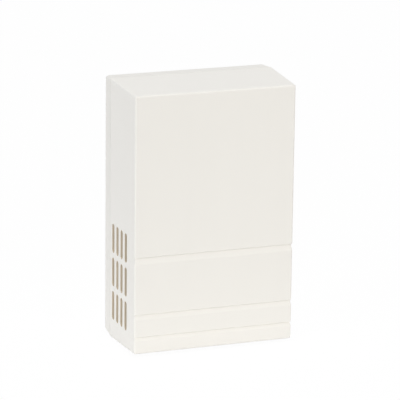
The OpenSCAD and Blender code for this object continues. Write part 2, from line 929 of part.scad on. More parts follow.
module terminal_washers() {
    color([0.8, 0.66, 0.35])
    for (x = terminal_xs)
        difference() {
            translate([x - clamp_w / 2, clamp_y, block_z - clamp_w / 2]) cube([clamp_w, clamp_t, clamp_w]);
            out_of_wall(x, plate_y + spare, block_z)
                cylinder(h = clamp_t + 2 * spare, r = terminal_screw_r + fit_gap);
        }
}

module terminal_screws() {
    color([0.82, 0.7, 0.4])
    for (x = terminal_xs)
        out_of_wall(x, clamp_y, block_z)
        screw(terminal_screw_r, terminal_screw_l, terminal_head_r, terminal_head_t);
}

module block_screws() {
    color([0.78, 0.77, 0.7])
    both_sides()
        out_of_wall(ear_x, block_front_y, block_z)
        screw(fix_screw_r, block_screw_l, fix_head_r, fix_head_t);
}

module front_coil_leads() {
    color([0.7, 0.12, 0.1])
    for (route = front_lead_routes)
        tube(tube_rings(smooth_route(route, front_lead_steps), lead_d / 2, tube_sides));
}

module rear_coil_leads() {
    color([0.15, 0.2, 0.5])
    for (route = rear_lead_routes)
        tube(tube_rings(smooth_route(route, rear_lead_steps), lead_d / 2, tube_sides));
}

cover();
base_tray();
low_tone_bar();
high_tone_bar();
low_bar_grommets();
high_bar_grommets();
bar_pins();
front_bobbin();
front_winding();
front_yoke();
front_plunger();
front_left_striker();
front_right_striker();
front_spring();
rear_bobbin();
rear_winding();
rear_yoke();
rear_plunger();
rear_spring_cap();
rear_striker();
rear_spring();
rear_stop_washer();
yoke_screws();
terminal_block();
terminal_plates();
terminal_washers();
terminal_screws();
block_screws();
front_coil_leads();
rear_coil_leads();
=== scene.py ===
"""Looks of the doorbell chime box, built round its fixed frame. Metres; X right, Y into the wall, Z up."""

import json
import math

import bmesh
import bpy
from bpy.props import FloatProperty, FloatVectorProperty, IntProperty, PointerProperty
from mathutils import Matrix, Vector


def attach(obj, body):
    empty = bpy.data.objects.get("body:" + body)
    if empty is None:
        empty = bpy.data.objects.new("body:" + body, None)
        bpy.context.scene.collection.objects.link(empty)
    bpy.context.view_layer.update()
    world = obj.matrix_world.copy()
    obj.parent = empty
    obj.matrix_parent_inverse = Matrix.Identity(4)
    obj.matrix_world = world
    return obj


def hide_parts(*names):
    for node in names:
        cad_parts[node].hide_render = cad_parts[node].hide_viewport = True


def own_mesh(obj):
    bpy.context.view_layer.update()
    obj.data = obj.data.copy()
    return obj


bl_info = {
    "name": "Doorbell Chime Box",
    "version": (1, 0, 0),
    "blender": (4, 5, 0),
    "location": "3D View > Sidebar > Chime",
    "description": "Builds a wall-hung two-note striker chime round its frame",
    "category": "Add Mesh",
}

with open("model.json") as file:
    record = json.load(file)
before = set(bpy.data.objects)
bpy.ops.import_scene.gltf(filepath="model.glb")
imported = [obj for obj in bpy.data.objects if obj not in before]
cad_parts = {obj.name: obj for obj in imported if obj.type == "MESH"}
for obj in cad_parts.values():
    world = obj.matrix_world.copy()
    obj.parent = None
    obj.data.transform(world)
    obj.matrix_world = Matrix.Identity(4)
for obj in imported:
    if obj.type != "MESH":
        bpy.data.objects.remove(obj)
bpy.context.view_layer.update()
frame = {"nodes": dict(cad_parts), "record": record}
COLOURS = {m["slot"]: m["base_color"] for m in frame["record"]["materials"]}
MM = 0.001
# Attribute of the cover's points for the painted shade in the sound slots: one inside a sound slot, zero
# elsewhere
SHADE = "slot_shade"
# Points closer than these are one point: in a new mesh, in a copy of a CAD node, and between a wire's turns
SAME_POINT = 1e-7
SAME_COPIED_POINT = 1e-6
SAME_WIRE_POINT = 2e-6
# Faces of a copied CAD node that meet at less than this angle are one flat
FLAT_BEND = math.radians(0.6)
# Edges that bend by more than this many degrees are rounded, unless a piece gives its own
SHARP_BEND = 32.0
# How close to a cutting plane a point counts as lying on it
ON_CUT = 1e-8
# How close to the wall a point counts as lying on it
ON_WALL = 1e-5
# Share of a normal that has to look along an axis for its face to count as facing that way
FACING = 0.9
# How far inside its widest outline the drafted tray's outer edges may lie
TRAY_MARGIN = 1.5 * MM
# Edges of the tray that are shorter than this stay sharp
SHORTEST_EDGE = 0.2 * MM
# Angles round a slot's mouth at which its rounding has a line
MOUTH_BENDS = (0, 30, 60, 90)
# Points round a slot
SLOT_POINTS = 26
# Domed top of a pin's head, as shares of the head's radius and thickness
HEAD_CROWN = ((1.0, 0.5), (0.82, 5 / 6), (0.45, 1.0))
# Pitch of a winding's turns, and how far the tube under them lies below the wire's middle, in wires
WIRE_LAY = 1.02
WIRE_SINK = 0.12
# Radii of a bead of solder, how far it hangs below a lead's end, and how far it reaches into the tag
BEAD = (1.25 * MM, 1.3 * MM, 1.7 * MM)
BEAD_DROP = 0.2 * MM
BEAD_SINK = 0.02 * MM
# Half the floor's width in metres, and how far the floor lies under the foot
HALF_FLOOR = 4
FLOOR_DROP = 0.05 * MM
# Distances from the case between which the floor's glow sets in, and its two pools of light fade out
GLOW_START = (-1 * MM, 3 * MM)
WIDE_POOL = (20 * MM, 250 * MM)
FOOT_POOL = (5 * MM, 70 * MM)


def length(name, description, millimetres):
    return FloatProperty(
        name=name, description=description, default=millimetres * MM, unit="LENGTH", precision=5
    )


def angle(name, description, degrees):
    return FloatProperty(name=name, description=description, default=math.radians(degrees), unit="ROTATION")


def number(name, description, value, unit="NONE"):
    return FloatProperty(name=name, description=description, default=value, unit=unit)


def spot(name, description, point):
    return FloatVectorProperty(name=name, description=description, default=point, subtype="TRANSLATION")


def hue(name, description, shade):
    return FloatVectorProperty(
        name=name, description=description, default=shade, subtype="COLOR", size=3, min=0, max=1
    )


def colour(name, description, slot):
    """Colour whose default is the one that the record gives a material slot."""
    return hue(name, description, COLOURS[slot])


class ChimeCase(bpy.types.PropertyGroup):
    """Sizes of the cover and the base tray."""

    width: length("Width", "Width at the parting line", 108.4)
    height: length("Height", "Height at the parting line", 170)
    depth: length("Depth", "From the wall to the front face", 58)
    tray_depth: length("Tray depth", "From the wall to the parting line", 13.2)
    side_draft: angle("Side draft", "Draft of the cover's left and right sides", 1.5)
    end_draft: angle("End draft", "Draft of the cover's top and bottom", 2.2)
    wall: length("Wall", "Thickness of the cover's sides", 2)
    front_wall: length("Front wall", "Thickness of the cover's front", 2.6)
    edge: length("Edge", "Rounding of the cover's outer edges", 1.2)
    inner_edge: length("Inner edge", "Rounding of the cover's inner edges", 0.6)
    back_edge: length("Back edge", "Rounding of the tray's outer edges", 2)
    small_edge: length("Small edge", "Rounding of the edges inside the tray", 0.25)
    seam: length("Seam", "Open seam between the cover and the tray", 0.25)
    groove_depth: length("Groove depth", "Depth of a groove", 0.9)
    groove_lip: length("Groove lip", "Height of the steep face at the top of a groove", 0.6)
    groove_return: length("Groove return", "How far a groove runs round on to the side", 9)
    groove_turn: length("Groove turn", "Rounding at the corners of a groove's deepest line", 0.3)
    groove_foot: length("Groove foot", "Height of the soft bend at the foot of a groove", 0.5)
    upper_groove: length("Upper groove", "Top of the upper groove above the foot", 64.9)
    upper_groove_height: length("Upper groove height", "Height of the upper groove", 4.6)
    middle_groove: length("Middle groove", "Top of the middle groove above the foot", 27.7)
    middle_groove_height: length("Middle groove height", "Height of the middle groove", 3.7)
    lower_groove: length("Lower groove", "Top of the lower groove above the foot", 13)
    lower_groove_height: length("Lower groove height", "Height of the lower groove", 2.8)
    slot_width: length("Slot width", "Width of a sound slot", 4)
    slot_length: length("Slot length", "Length of a sound slot", 19)
    slot_columns: IntProperty(name="Slot columns", description="Sound slots in a row", default=4, min=1)
    slot_rows: IntProperty(name="Slot rows", description="Rows of sound slots", default=3, min=1)
    slot_pitch: length("Slot pitch", "Spacing of the slots in a row", 7.6)
    slot_row_pitch: length("Slot row pitch", "Spacing of the rows", 22.3)
    slot_front: length("First slot", "From the front face to the middle of the first slot", 15.9)
    slot_low: length("Lowest slots", "Lowest slots above the foot", 13.1)
    slot_edge: length("Slot edge", "Rounding of a slot's mouth", 0.12)
    slot_relief: length("Slot relief", "Bevel of a slot's inner edge", 0.3)
    rim_edge: length("Rim edge", "Bevel of the cover's rim at the seam", 0.08)

    def half_width(self, y):
        return self.width / 2 - (-self.tray_depth - y) * math.tan(self.side_draft)

    def half_height(self, y):
        return self.height / 2 - (-self.tray_depth - y) * math.tan(self.end_draft)


class ChimeWorks(bpy.types.PropertyGroup):
    """Sizes and places of the coils, plungers, bars and terminals."""

    axis_y: length("Axis depth", "Depth of the plungers' and pins' axes", -28)
    front_z: length("Front coil", "Height of the front coil's axis", 17.5)
    rear_z: length("Rear coil", "Height of the rear coil's axis", -17.5)
    fit_gap: length("Fit gap", "Clearance of a piece that is held", 0.05)
    run_gap: length("Running gap", "Clearance of a piece that slides or is wound", 0.1)
    bar_inner: length("Bar face", "From the middle to a bar's inner face", 45.5)
    bar_thickness: length("Bar thickness", "Thickness of a tone bar", 2)
    bar_edge: length("Bar edge", "Rounding of a tone bar's edges", 0.35)
    low_still: length("Low still point", "Height of the low bar's pins", 38.64)
    high_still: length("High still point", "Height of the high bar's pins", 34.5)
    grommet_radius: length("Grommet radius", "Radius of a grommet's rims", 5.6)
    grommet_waist: length("Grommet waist", "Radius of a grommet inside the bar's hole", 4)
    grommet_proud: length("Grommet rim", "How far a grommet stands proud of the bar", 2)
    grommet_edge: length("Grommet edge", "Rounding of a grommet's edges", 0.5)
    pin_radius: length("Pin radius", "Radius of a pin", 2)
    pin_depth: length("Pin depth", "How far a pin goes into its post", 3)
    head_radius: length("Head radius", "Radius of a pin's head", 3.6)
    head_thickness: length("Head thickness", "Thickness of a pin's head", 1.2)
    spool_radius: length("Spool radius", "Radius of a spool's flanges", 12.5)
    spool_edge: length("Spool edge", "Rounding of a spool's edges", 0.25)
    tube_radius: length("Tube radius", "Radius of a spool's tube", 5.5)
    flange_face: length("Flange face", "From the middle to the outer face of a spool's flange", 18.95)
    flange_thickness: length("Flange thickness", "Thickness of a spool's flange", 1.5)
    snout: length("Snout", "From the middle to the end of a spool's tube", 21.6)
    guide_length: length("Guide length", "Length of the narrow end that guides the rod", 5.6)
    winding_radius: length("Winding radius", "Outer radius of a winding", 11.5)
    wire: length("Wire", "Thickness of the winding's wire", 0.45)
    front_tape: length("Front tape", "Middle of the tape on the front winding", -11)
    rear_tape: length("Rear tape", "Middle of the tape on the rear winding", 11.5)
    tape_width: length("Tape width", "Width of the tape on a winding", 11)
    tape_proud: length("Tape", "How far the tape stands proud of its winding", 0.12)
    tape_edge: length("Tape edge", "Rounding of the tape's edges", 0.05)
    core_radius: length("Core radius", "Radius of a plunger's core", 4)
    core_length: length("Core length", "Length of a plunger's core", 42)
    core_chamfer: length("Core chamfer", "Chamfer on a core's ends", 0.4)
    rest_gap: length("Rest gap", "Gap from the left tip to the low bar at rest", 3)
    strike_gap: length("Strike gap", "Gap from a rod's end to the high bar at rest", 8)
    rod_radius: length("Rod radius", "Radius of a striker's rod", 2.2)
    tip_radius: length("Tip radius", "Radius of the left tip", 2.5)
    tip_length: length("Tip length", "Length of the left tip", 4)
    cap_radius: length("Cap radius", "Radius of the flange that holds a spring", 6.2)
    cap_thickness: length("Cap thickness", "Thickness of that flange", 1.5)
    cap_edge: length("Cap edge", "Rounding of the rear spring cap's edges", 0.2)
    spigot_radius: length("Spigot radius", "Radius of the spigots in a core's ends", 1.5)
    spigot_length: length("Spigot length", "Length of a spigot", 5)
    stop_radius: length("Stop radius", "Radius of the rear rod's stop flange", 4.2)
    stop_thickness: length("Stop thickness", "Thickness of the stop flange", 1.5)
    washer_radius: length("Washer radius", "Radius of the stop washer", 4.6)
    washer_thickness: length("Washer thickness", "Thickness of the stop washer", 1.5)
    washer_edge: length("Washer edge", "Rounding of the stop washer's edges", 0.3)
    striker_edge: length("Striker edge", "Rounding of the edges of cores and strikers", 0.15)
    spring_wire: length("Spring wire", "Thickness of a return spring's wire", 0.8)
    spring_radius: length("Spring radius", "Radius of a return spring's line", 4.95)
    spring_turns: IntProperty(name="Spring turns", description="Turns of a return spring", default=7, min=2)
    block_edge: length("Block edge", "Rounding of the terminal block's edges", 0.35)
    clamp_edge: length("Clamp edge", "Rounding of the clamp washers' edges", 0.15)
    tag_face: length("Tag face", "Depth of the front face of the solder tags", -18)
    tag_thickness: length("Tag thickness", "Thickness of a solder tag", 1)
    lead: length("Lead", "Thickness of a coil's lead", 1)
    metal_edge: length("Metal edge", "Rounding of the edges of sheet, pins and screws", 0.2)

    def core_left(self):
        """Left end of a plunger's core, which is the right face of its spring's flange."""
        return self.rest_gap - self.bar_inner + self.tip_length + self.cap_thickness

    def axis_z(self, node):
        """Height of the coil that a node belongs to."""
        return self.front_z if node.startswith("front") else self.rear_z


class ChimeFinish(bpy.types.PropertyGroup):
    """Colours of the chime's materials."""

    cover: colour("Cover", "Moulded plastic of the cover", "cover_plastic")
    tray: colour("Tray", "Moulded plastic of the base tray", "tray_plastic")
    bar: colour("Tone bars", "Nickel plate of the tone bars", "bar_steel")
    rubber: colour("Rubber", "Grommets and the stop washer", "black_rubber")
    pin: colour("Pins", "Zinc plate of the pins", "pin_steel")
    spool: colour("Spools", "Nylon of the spools", "spool_nylon")
    copper: colour("Windings", "Enamelled copper wire", "coil_copper")
    yoke: colour("Coil frames", "Zinc plate of the coil frames", "yoke_steel")
    core: colour("Cores", "Ground steel of the plungers", "core_steel")
    striker: colour("Strikers", "Nylon of the strikers", "striker_nylon")
    spring: colour("Springs", "Drawn wire of the springs", "spring_steel")
    screw: colour("Fixing screws", "Yellow zinc plate of the fixing screws", "screw_steel")
    block: colour("Terminal block", "Moulded plastic of the terminal block", "block_plastic")
    terminal: colour("Terminal plates", "Stamped brass of the plates and washers", "terminal_brass")
    terminal_screw: colour("Terminal screws", "Turned brass of the terminal screws", "screw_brass")
    front_lead: colour("Front leads", "Insulation of the front coil's leads", "red_lead")
    rear_lead: colour("Rear leads", "Insulation of the rear coil's leads", "blue_lead")


class ChimeStage(bpy.types.PropertyGroup):
    """Camera, floor and light of the picture."""

    eye: spot("Eye", "Place of the camera", (-0.6061, -1.6632, 0.4906))
    turn: angle("Turn", "Turn of the camera round the object, to the left of its front", 20.369)
    tilt: angle("Tilt", "Height of the camera above the horizon", 15.555)
    roll: angle("Roll", "Roll of the camera", 0.689)
    lens: number("Lens", "Focal length in millimetres", 256.5, "CAMERA")
    sensor: number("Sensor", "Width of the camera's sensor in millimetres", 36.0, "CAMERA")
    horizon: number("Horizon", "Strength of the light from low all round", 0.14)
    zenith: number("Zenith", "Strength of the light from straight above", 1.05)
    key: number("Key", "Power of the broad lamp on the left", 92.0, "POWER")
    key_place: spot("Key place", "Place of the key", (-4.4, -2.2, 2.4))
    key_size: number("Key size", "Width of the key", 3.0, "LENGTH")
    fill: number("Fill", "Power of the lamp in front on the right", 18.2, "POWER")
    fill_place: spot("Fill place", "Place of the fill", (0.96, -2.65, 1.03))
    fill_size: number("Fill size", "Width of the fill", 1.0, "LENGTH")
    cool: hue("Cool", "Tint of the key and of the light from all round", (0.967, 0.977, 1.0))
    warm: hue("Warm", "Tint of the fill", (1.0, 0.94, 0.843))
    floor_white: number("Floor white", "Share of plain white in the floor", 0.97)
    floor_glow: number("Floor glow", "Light of the floor round the case", 0.17)
    foot_glow: number("Foot glow", "Light of the floor close to the foot", 0.124)


class Wire:
    """One output socket of a finish. Sums of wires and numbers add the Math nodes that work them out."""

    def __init__(self, finish, socket):
        self.finish = finish
        self.socket = socket

    def sum(self, operation, first, second=0.0):
        return self.finish.add("ShaderNodeMath", {"operation": operation}, {0: first, 1: second})

    def __add__(self, other):
        return self.sum("ADD", self, other)

    def __radd__(self, other):
        return self.sum("ADD", other, self)

    def __sub__(self, other):
        return self.sum("SUBTRACT", self, other)

    def __rsub__(self, other):
        return self.sum("SUBTRACT", other, self)

    def __mul__(self, other):
        return self.sum("MULTIPLY", self, other)

    def __rmul__(self, other):
        return self.sum("MULTIPLY", other, self)

    def __abs__(self):
        return self.sum("ABSOLUTE", self)


class Nodes:
    """A node tree that is filled from expressions."""

    def __init__(self, tree):
        self.tree = tree
        tree.nodes.clear()

    def add(self, kind, settings=None, inputs=None, output=0):
        """Any node, from its settings and the values or wires of its sockets."""
        node = self.tree.nodes.new(kind)
        for key, value in (settings or {}).items():
            setattr(node, key, value)
        for key, value in (inputs or {}).items():
            if isinstance(value, Wire):
                self.tree.links.new(value.socket, node.inputs[key])
            else:
                node.inputs[key].default_value = value
        return Wire(self, node.outputs[output]) if len(node.outputs) else None

    def ramp(self, value, low, high, start=0.0, end=1.0):
        """Value carried smoothly from low..high to start..end."""
        return self.add(
            "ShaderNodeMapRange", {"interpolation_type": "SMOOTHSTEP"},
            {"Value": value, "From Min": low, "From Max": high, "To Min": start, "To Max": end},
        )

    def mixed(self, first, second, share):
        """Colour from first to second by a share, through the colour sockets of a Mix node."""
        return self.add("ShaderNodeMix", {"data_type": "RGBA"}, {0: share, 6: first, 7: second}, 2)

    def straight_to_camera(self):
        """One where a ray from the camera, a mirror or a glass meets the surface."""
        path = {
            name: self.add("ShaderNodeLightPath", {}, {}, name)
            for name in ("Is Camera Ray", "Is Glossy Ray", "Is Transmission Ray")
        }
        first = path["Is Camera Ray"]
        second = first.sum("MAXIMUM", first, path["Is Glossy Ray"])
        return first.sum("MAXIMUM", second, path["Is Transmission Ray"])


def rgba(shade, share=1.0):
    return (*[min(1.0, c * share) for c in shade], 1.0)


def tinted(shade, shares):
    """Shade with its red, green and blue each cut to a share."""
    return rgba([c * share for c, share in zip(shade, shares)])


class Finish(Nodes):
    """A material: what its colour, gloss and grain are at each place on a piece."""

    def __init__(self, name):
        self.material = bpy.data.materials.new(name)
        self.material.use_nodes = True
        super().__init__(self.material.node_tree)
        self.place = self.add("ShaderNodeTexCoord", {}, {}, "Object")

    def axis(self, name):
        return self.add("ShaderNodeSeparateXYZ", {}, {0: self.place}, name)

    def stretched(self, scale):
        """Places on the piece, scaled so that a pattern has this many repeats in a metre on each axis."""
        return self.add(
            "ShaderNodeMapping", {"vector_type": "POINT"}, {"Vector": self.place, "Scale": scale}
        )

    def noise(self, scale, detail=2.0, roughness=0.5, place=None):
        """Cloudy value from 0 to 1, with scale clouds in a metre."""
        return self.add("ShaderNodeTexNoise", {"noise_dimensions": "3D"}, {
            "Vector": place or self.place, "Scale": scale, "Detail": detail, "Roughness": roughness
        })

    def cells(self, scale):
        """Distance to the nearest of scale cells in a metre."""
        return self.add("ShaderNodeTexVoronoi", {"feature": "F1"}, {"Vector": self.place, "Scale": scale})

    def bumped(self, height, depth, strength):
        """Normal of a surface whose height from 0 to 1 is a depth in millimetres."""
        sockets = {"Strength": strength, "Distance": depth * MM, "Height": height}
        return self.add("ShaderNodeBump", {}, sockets)

    def surface(self, **sockets):
        """Closes the finish with its shader, and returns the material."""
        named = {key.replace("_", " ").title(): value for key, value in sockets.items()}
        shader = self.add("ShaderNodeBsdfPrincipled", {}, named)
        self.add("ShaderNodeOutputMaterial", {}, {"Surface": shader})
        return self.material


def moulded_case(name, shade, case, edge_highlight):
    """Off-white moulded plastic: spark-eroded grain, slow flow clouds, edges made glossier by handling and
    lightened as a painted highlight, and painted shade on the walls of the sound slots.
    """
    f = Finish(name)
    x, y, z = abs(f.axis("X")), f.axis("Y"), abs(f.axis("Z"))
    near = 1.2 * case.edge
    behind = y + case.tray_depth
    side = f.ramp(x - behind * math.tan(case.side_draft), case.width / 2 - near, case.width / 2)
    end = f.ramp(z - behind * math.tan(case.end_draft), case.height / 2 - near, case.height / 2)
    face = f.ramp(y, near - case.depth, -case.depth)
    edges = f.ramp(side * end + side * face + end * face, 0.0, 1.0)
    in_slot = f.add("ShaderNodeAttribute", {"attribute_name": SHADE}, {}, "Fac")
    clouds = f.noise(11, detail=3)
    flow = f.noise(1, place=f.stretched((70, 70, 9)))
    grain = f.noise(1900, roughness=0.6)
    broad_grain = f.noise(420)
    tone = f.mixed(rgba(shade, 0.975), rgba(shade, 1.02), clouds * 0.6 + flow * 0.4)
    specks = f.ramp(f.noise(900, detail=1), 0.74, 0.8)
    tone = f.mixed(tone, rgba(shade, 0.9), specks * 0.35)
    # Painted highlight: the rounded outer edges are lightened to stand in for the light they catch
    tone = f.mixed(tone, rgba(shade, 1.06), edges * edge_highlight)
    # Painted shade: the walls inside the sound slots are darkened and warmed to stand in for their shadow
    # and warm bounce light
    painted_slot_shade = tinted(shade, (0.95, 0.84, 0.68))
    tone = f.mixed(tone, painted_slot_shade, in_slot * (0.85 + clouds * 0.3))
    return f.surface(
        base_color=tone,
        roughness=0.44 + broad_grain * 0.1 - edges * 0.1,
        normal=f.bumped(grain + broad_grain * 0.6, depth=0.022, strength=0.55),
    )


def rolled_plate(name, shade, along, gloss):
    """Plated steel with the lines of its rolling along one axis, and a few dull stains."""
    f = Finish(name)
    scale = [14 if axis == along else 2600 for axis in "XYZ"]
    lines = f.noise(1, detail=3, roughness=0.6, place=f.stretched(scale))
    stains = f.ramp(f.noise(60, detail=4, roughness=0.6), 0.45, 0.75)
    tone = f.mixed(rgba(shade, 0.9), rgba(shade, 1.12), lines)
    tone = f.mixed(tone, tinted(shade, (0.8, 0.76, 0.7)), stains * 0.4)
    return f.surface(
        base_color=tone, metallic=1.0, roughness=gloss + lines * 0.12 + stains * 0.14,
        normal=f.bumped(lines, depth=0.006, strength=0.6),
    )


def zinc_plate(name, shade, tint, gloss):
    """Electroplated zinc: bright cloudy patches that drift to another tint, with a fine bloom."""
    f = Finish(name)
    drift = f.ramp(f.noise(95, detail=3), 0.3, 0.7)
    spangle = f.cells(620)
    bloom = f.noise(1500)
    tone = f.mixed(rgba(shade), rgba(tint), drift)
    tone = f.mixed(tone, rgba(shade, 1.25), spangle * 0.35)
    return f.surface(
        base_color=tone, metallic=1.0, roughness=gloss + bloom * 0.14 + drift * 0.06,
        normal=f.bumped(bloom + spangle * 0.5, depth=0.006, strength=0.5),
    )


def ground_steel(name, shade):
    """Steel ground round the X axis, with fine rings and a film of oil."""
    f = Finish(name)
    rings = f.noise(1, detail=3, roughness=0.7, place=f.stretched((5200, 40, 40)))
    film = f.ramp(f.noise(130, detail=3), 0.4, 0.7)
    tone = f.mixed(rgba(shade, 0.82), rgba(shade, 1.15), rings)
    return f.surface(
        base_color=f.mixed(tone, rgba(shade, 0.7), film * 0.35), metallic=1.0,
        roughness=0.26 + rings * 0.16 - film * 0.06, normal=f.bumped(rings, depth=0.005, strength=0.6),
    )


def enamelled_copper(name, shade):
    """Copper wire under clear enamel: turns a little lighter or darker, with deeper bands of varnish."""
    f = Finish(name)
    turns = f.noise(1, roughness=0.7, place=f.stretched((2300, 30, 30)))
    varnish = f.ramp(f.noise(70, detail=3), 0.42, 0.68)
    tone = f.mixed(rgba(shade, 0.72), tinted(shade, (1.35, 1.25, 1.0)), turns)
    tone = f.mixed(tone, rgba(shade, 0.5), varnish * 0.5)
    return f.surface(
        base_color=tone, metallic=0.85, roughness=0.24 + turns * 0.14, coat_weight=0.35 + varnish * 0.4,
        coat_roughness=0.12,
    )


def nylon(name, shade):
    """Natural nylon: waxy, a little cloudy, with faint flow lines."""
    f = Finish(name)
    cloudy = f.noise(140, detail=3)
    flow = f.noise(1, place=f.stretched((90, 500, 500)))
    fine = f.noise(2400, detail=1)
    tone = f.mixed(rgba(shade, 0.9), rgba(shade, 1.08), cloudy * 0.6 + flow * 0.4)
    return f.surface(
        base_color=tone, roughness=0.36 + cloudy * 0.12, subsurface_weight=0.12, subsurface_scale=1.0,
        subsurface_radius=(2 * MM, 1.5 * MM, 1 * MM), normal=f.bumped(fine, depth=0.01, strength=0.4),
    )


def rubber(name, shade):
    """Black moulded rubber with a dusty bloom."""
    f = Finish(name)
    dust = f.ramp(f.noise(330, detail=4, roughness=0.65), 0.45, 0.8)
    fine = f.noise(2600)
    tone = f.mixed(rgba(shade), rgba((0.11, 0.105, 0.1)), dust * 0.45)
    return f.surface(
        base_color=tone, roughness=0.62 + dust * 0.25,
        normal=f.bumped(fine + dust * 0.5, depth=0.02, strength=0.6),
    )


def phenolic(name, shade):
    """Black moulded block: fine grain, pale rubs, and a soft shine on its flats."""
    f = Finish(name)
    grain = f.noise(1500, detail=3, roughness=0.6)
    rubs = f.ramp(f.noise(1, detail=3, roughness=0.6, place=f.stretched((420, 420, 60))), 0.62, 0.8)
    tone = f.mixed(rgba(shade), rgba((0.085, 0.083, 0.08)), rubs * 0.5 + grain * 0.18)
    return f.surface(
        base_color=tone, roughness=0.34 + grain * 0.2, normal=f.bumped(grain, depth=0.014, strength=0.6)
    )


def brass(name, shade, lines):
    """Brass with its tool's lines and patches of tarnish."""
    f = Finish(name)
    marks = f.noise(1, detail=3, roughness=0.6, place=f.stretched(lines))
    tarnish = f.ramp(f.noise(210, detail=4, roughness=0.6), 0.46, 0.74)
    tone = f.mixed(rgba(shade, 0.88), rgba(shade, 1.14), marks)
    tone = f.mixed(tone, tinted(shade, (0.55, 0.48, 0.42)), tarnish * 0.55)
    return f.surface(
        base_color=tone, metallic=1.0, roughness=0.22 + marks * 0.12 + tarnish * 0.2,
        normal=f.bumped(marks, depth=0.006, strength=0.6),
    )


def insulation(name, shade):
    """Soft coloured sleeve of a lead, with a faint print of its drawing."""
    f = Finish(name)
    drawn = f.noise(700)
    dull = f.ramp(f.noise(120, detail=3), 0.4, 0.7)
    tone = f.mixed(rgba(shade, 0.8), rgba(shade, 1.3), drawn * 0.5 + dull * 0.5)
    return f.surface(
        base_color=tone, roughness=0.36 + dull * 0.16, normal=f.bumped(drawn, depth=0.012, strength=0.5)
    )


def solder(name):
    """Tin solder: bright, with a frosted skin."""
    f = Finish(name)
    frost = f.noise(1400, detail=3)
    tone = f.mixed(rgba((0.42, 0.42, 0.43)), rgba((0.62, 0.62, 0.62)), frost)
    return f.surface(
        base_color=tone, metallic=1.0, roughness=0.2 + frost * 0.25,
        normal=f.bumped(frost, depth=0.02, strength=0.5),
    )


def tape(name):
    """Amber wrapping tape: clear, glossy, wrinkled along the wire."""
    f = Finish(name)
    wrinkles = f.noise(1, place=f.stretched((900, 90, 90)))
    tone = f.mixed(rgba((0.5, 0.24, 0.04)), rgba((0.66, 0.36, 0.08)), wrinkles)
    return f.surface(
        base_color=tone, roughness=0.2 + wrinkles * 0.15, coat_weight=0.5 + wrinkles * 0.2,
        normal=f.bumped(wrinkles, depth=0.08, strength=0.5),
    )


def finished(name, bm, body, slot, material, stands_for=(), sharp=38.0, weighted=False):
    """Makes a piece of the chime from a bmesh: shaded, on its body, in place of its CAD nodes."""
    mesh = bpy.data.meshes.new(name)
    bm.to_mesh(mesh)
    bm.free()
    mesh.materials.append(material)
    mesh.shade_smooth()
    mesh.set_sharp_from_angle(angle=math.radians(sharp))
    piece = bpy.data.objects.new(name, mesh)
    bpy.context.scene.collection.objects.link(piece)
    if weighted:
        even = piece.modifiers.new("even_shading", "WEIGHTED_NORMAL")
        even.keep_sharp = True
    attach(piece, body)
    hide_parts(*stands_for)
    return piece


def stand_in(node, bm, body, slot, material, **shading):
    """A finished piece in place of the CAD node that it is named for."""
    return finished("chime_" + node, bm, body, slot, material, [node], **shading)


def joined(bm):
    """Merges doubles and points every face outwards."""
    bmesh.ops.remove_doubles(bm, verts=bm.verts[:], dist=SAME_POINT)
    bmesh.ops.recalc_face_normals(bm, faces=bm.faces[:])


def rounded(bm, edges, radius, segments):
    bmesh.ops.bevel(
        bm, geom=edges, offset=radius, offset_type="OFFSET", segments=segments, profile=0.5,
        affect="EDGES", clamp_overlap=True, material=-1,
    )


def copy_of(node):
    """The CAD shape of a node as a clean mesh, with each flat as one face."""
    bm = bmesh.new()
    bm.from_mesh(frame["nodes"][node].data)
    bmesh.ops.remove_doubles(bm, verts=bm.verts[:], dist=SAME_COPIED_POINT)
    bmesh.ops.dissolve_limit(
        bm, angle_limit=FLAT_BEND, verts=bm.verts[:], edges=bm.edges[:],
        use_dissolve_boundaries=False,
    )
    bm.normal_update()
    return bm


def sharp_edges(bm, degrees=SHARP_BEND):
    return [e for e in bm.edges if e.is_manifold and e.calc_face_angle() > math.radians(degrees)]


def softened(node, slot, material, edge, segments=2, degrees=SHARP_BEND):
    """A still piece that copies its CAD node, with its sharp edges rounded."""
    bm = copy_of(node)
    rounded(bm, sharp_edges(bm, degrees), edge, segments)
    stand_in(node, bm, "chassis", slot, material, sharp=40, weighted=True)


def turned(bm, outline, y, z, soft=0.0, steps=72):
    """Turns an outline of radius and X round a line along X; soft rounds the outline's corners.
    An outline that starts away from the line is closed into a ring."""
    earlier = set(bm.edges)
    ring = outline[0][0] > SAME_POINT
    points = [bm.verts.new((x, y, z + radius)) for radius, x in outline]
    for pair in zip(points, points[1:]):
        bm.edges.new(pair)
    if ring:
        bm.edges.new((points[-1], points[0]))
    if soft:
        bmesh.ops.bevel(
            bm, geom=points if ring else points[1:-1], offset=soft, offset_type="OFFSET", segments=3,
            profile=0.5, affect="VERTICES", clamp_overlap=True, material=-1,
        )
    lines = [e for e in bm.edges if e not in earlier]
    profile = list({v for e in lines for v in e.verts})
    bmesh.ops.spin(
        bm, geom=profile + lines, cent=(0, y, z), axis=(1, 0, 0), dvec=(0, 0, 0),
        angle=2 * math.pi, steps=steps, use_merge=True, use_normal_flip=False, use_duplicate=False,
    )


def dome(radius, x, way, steps=8):
    """Quarter circle that closes a rod at x, where way is 1 to the right and -1 to the left."""
    angles = [math.pi / 2 * i / steps for i in range(steps + 1)]
    return [(radius * math.cos(a), x - way * radius * (1 - math.sin(a))) for a in angles]


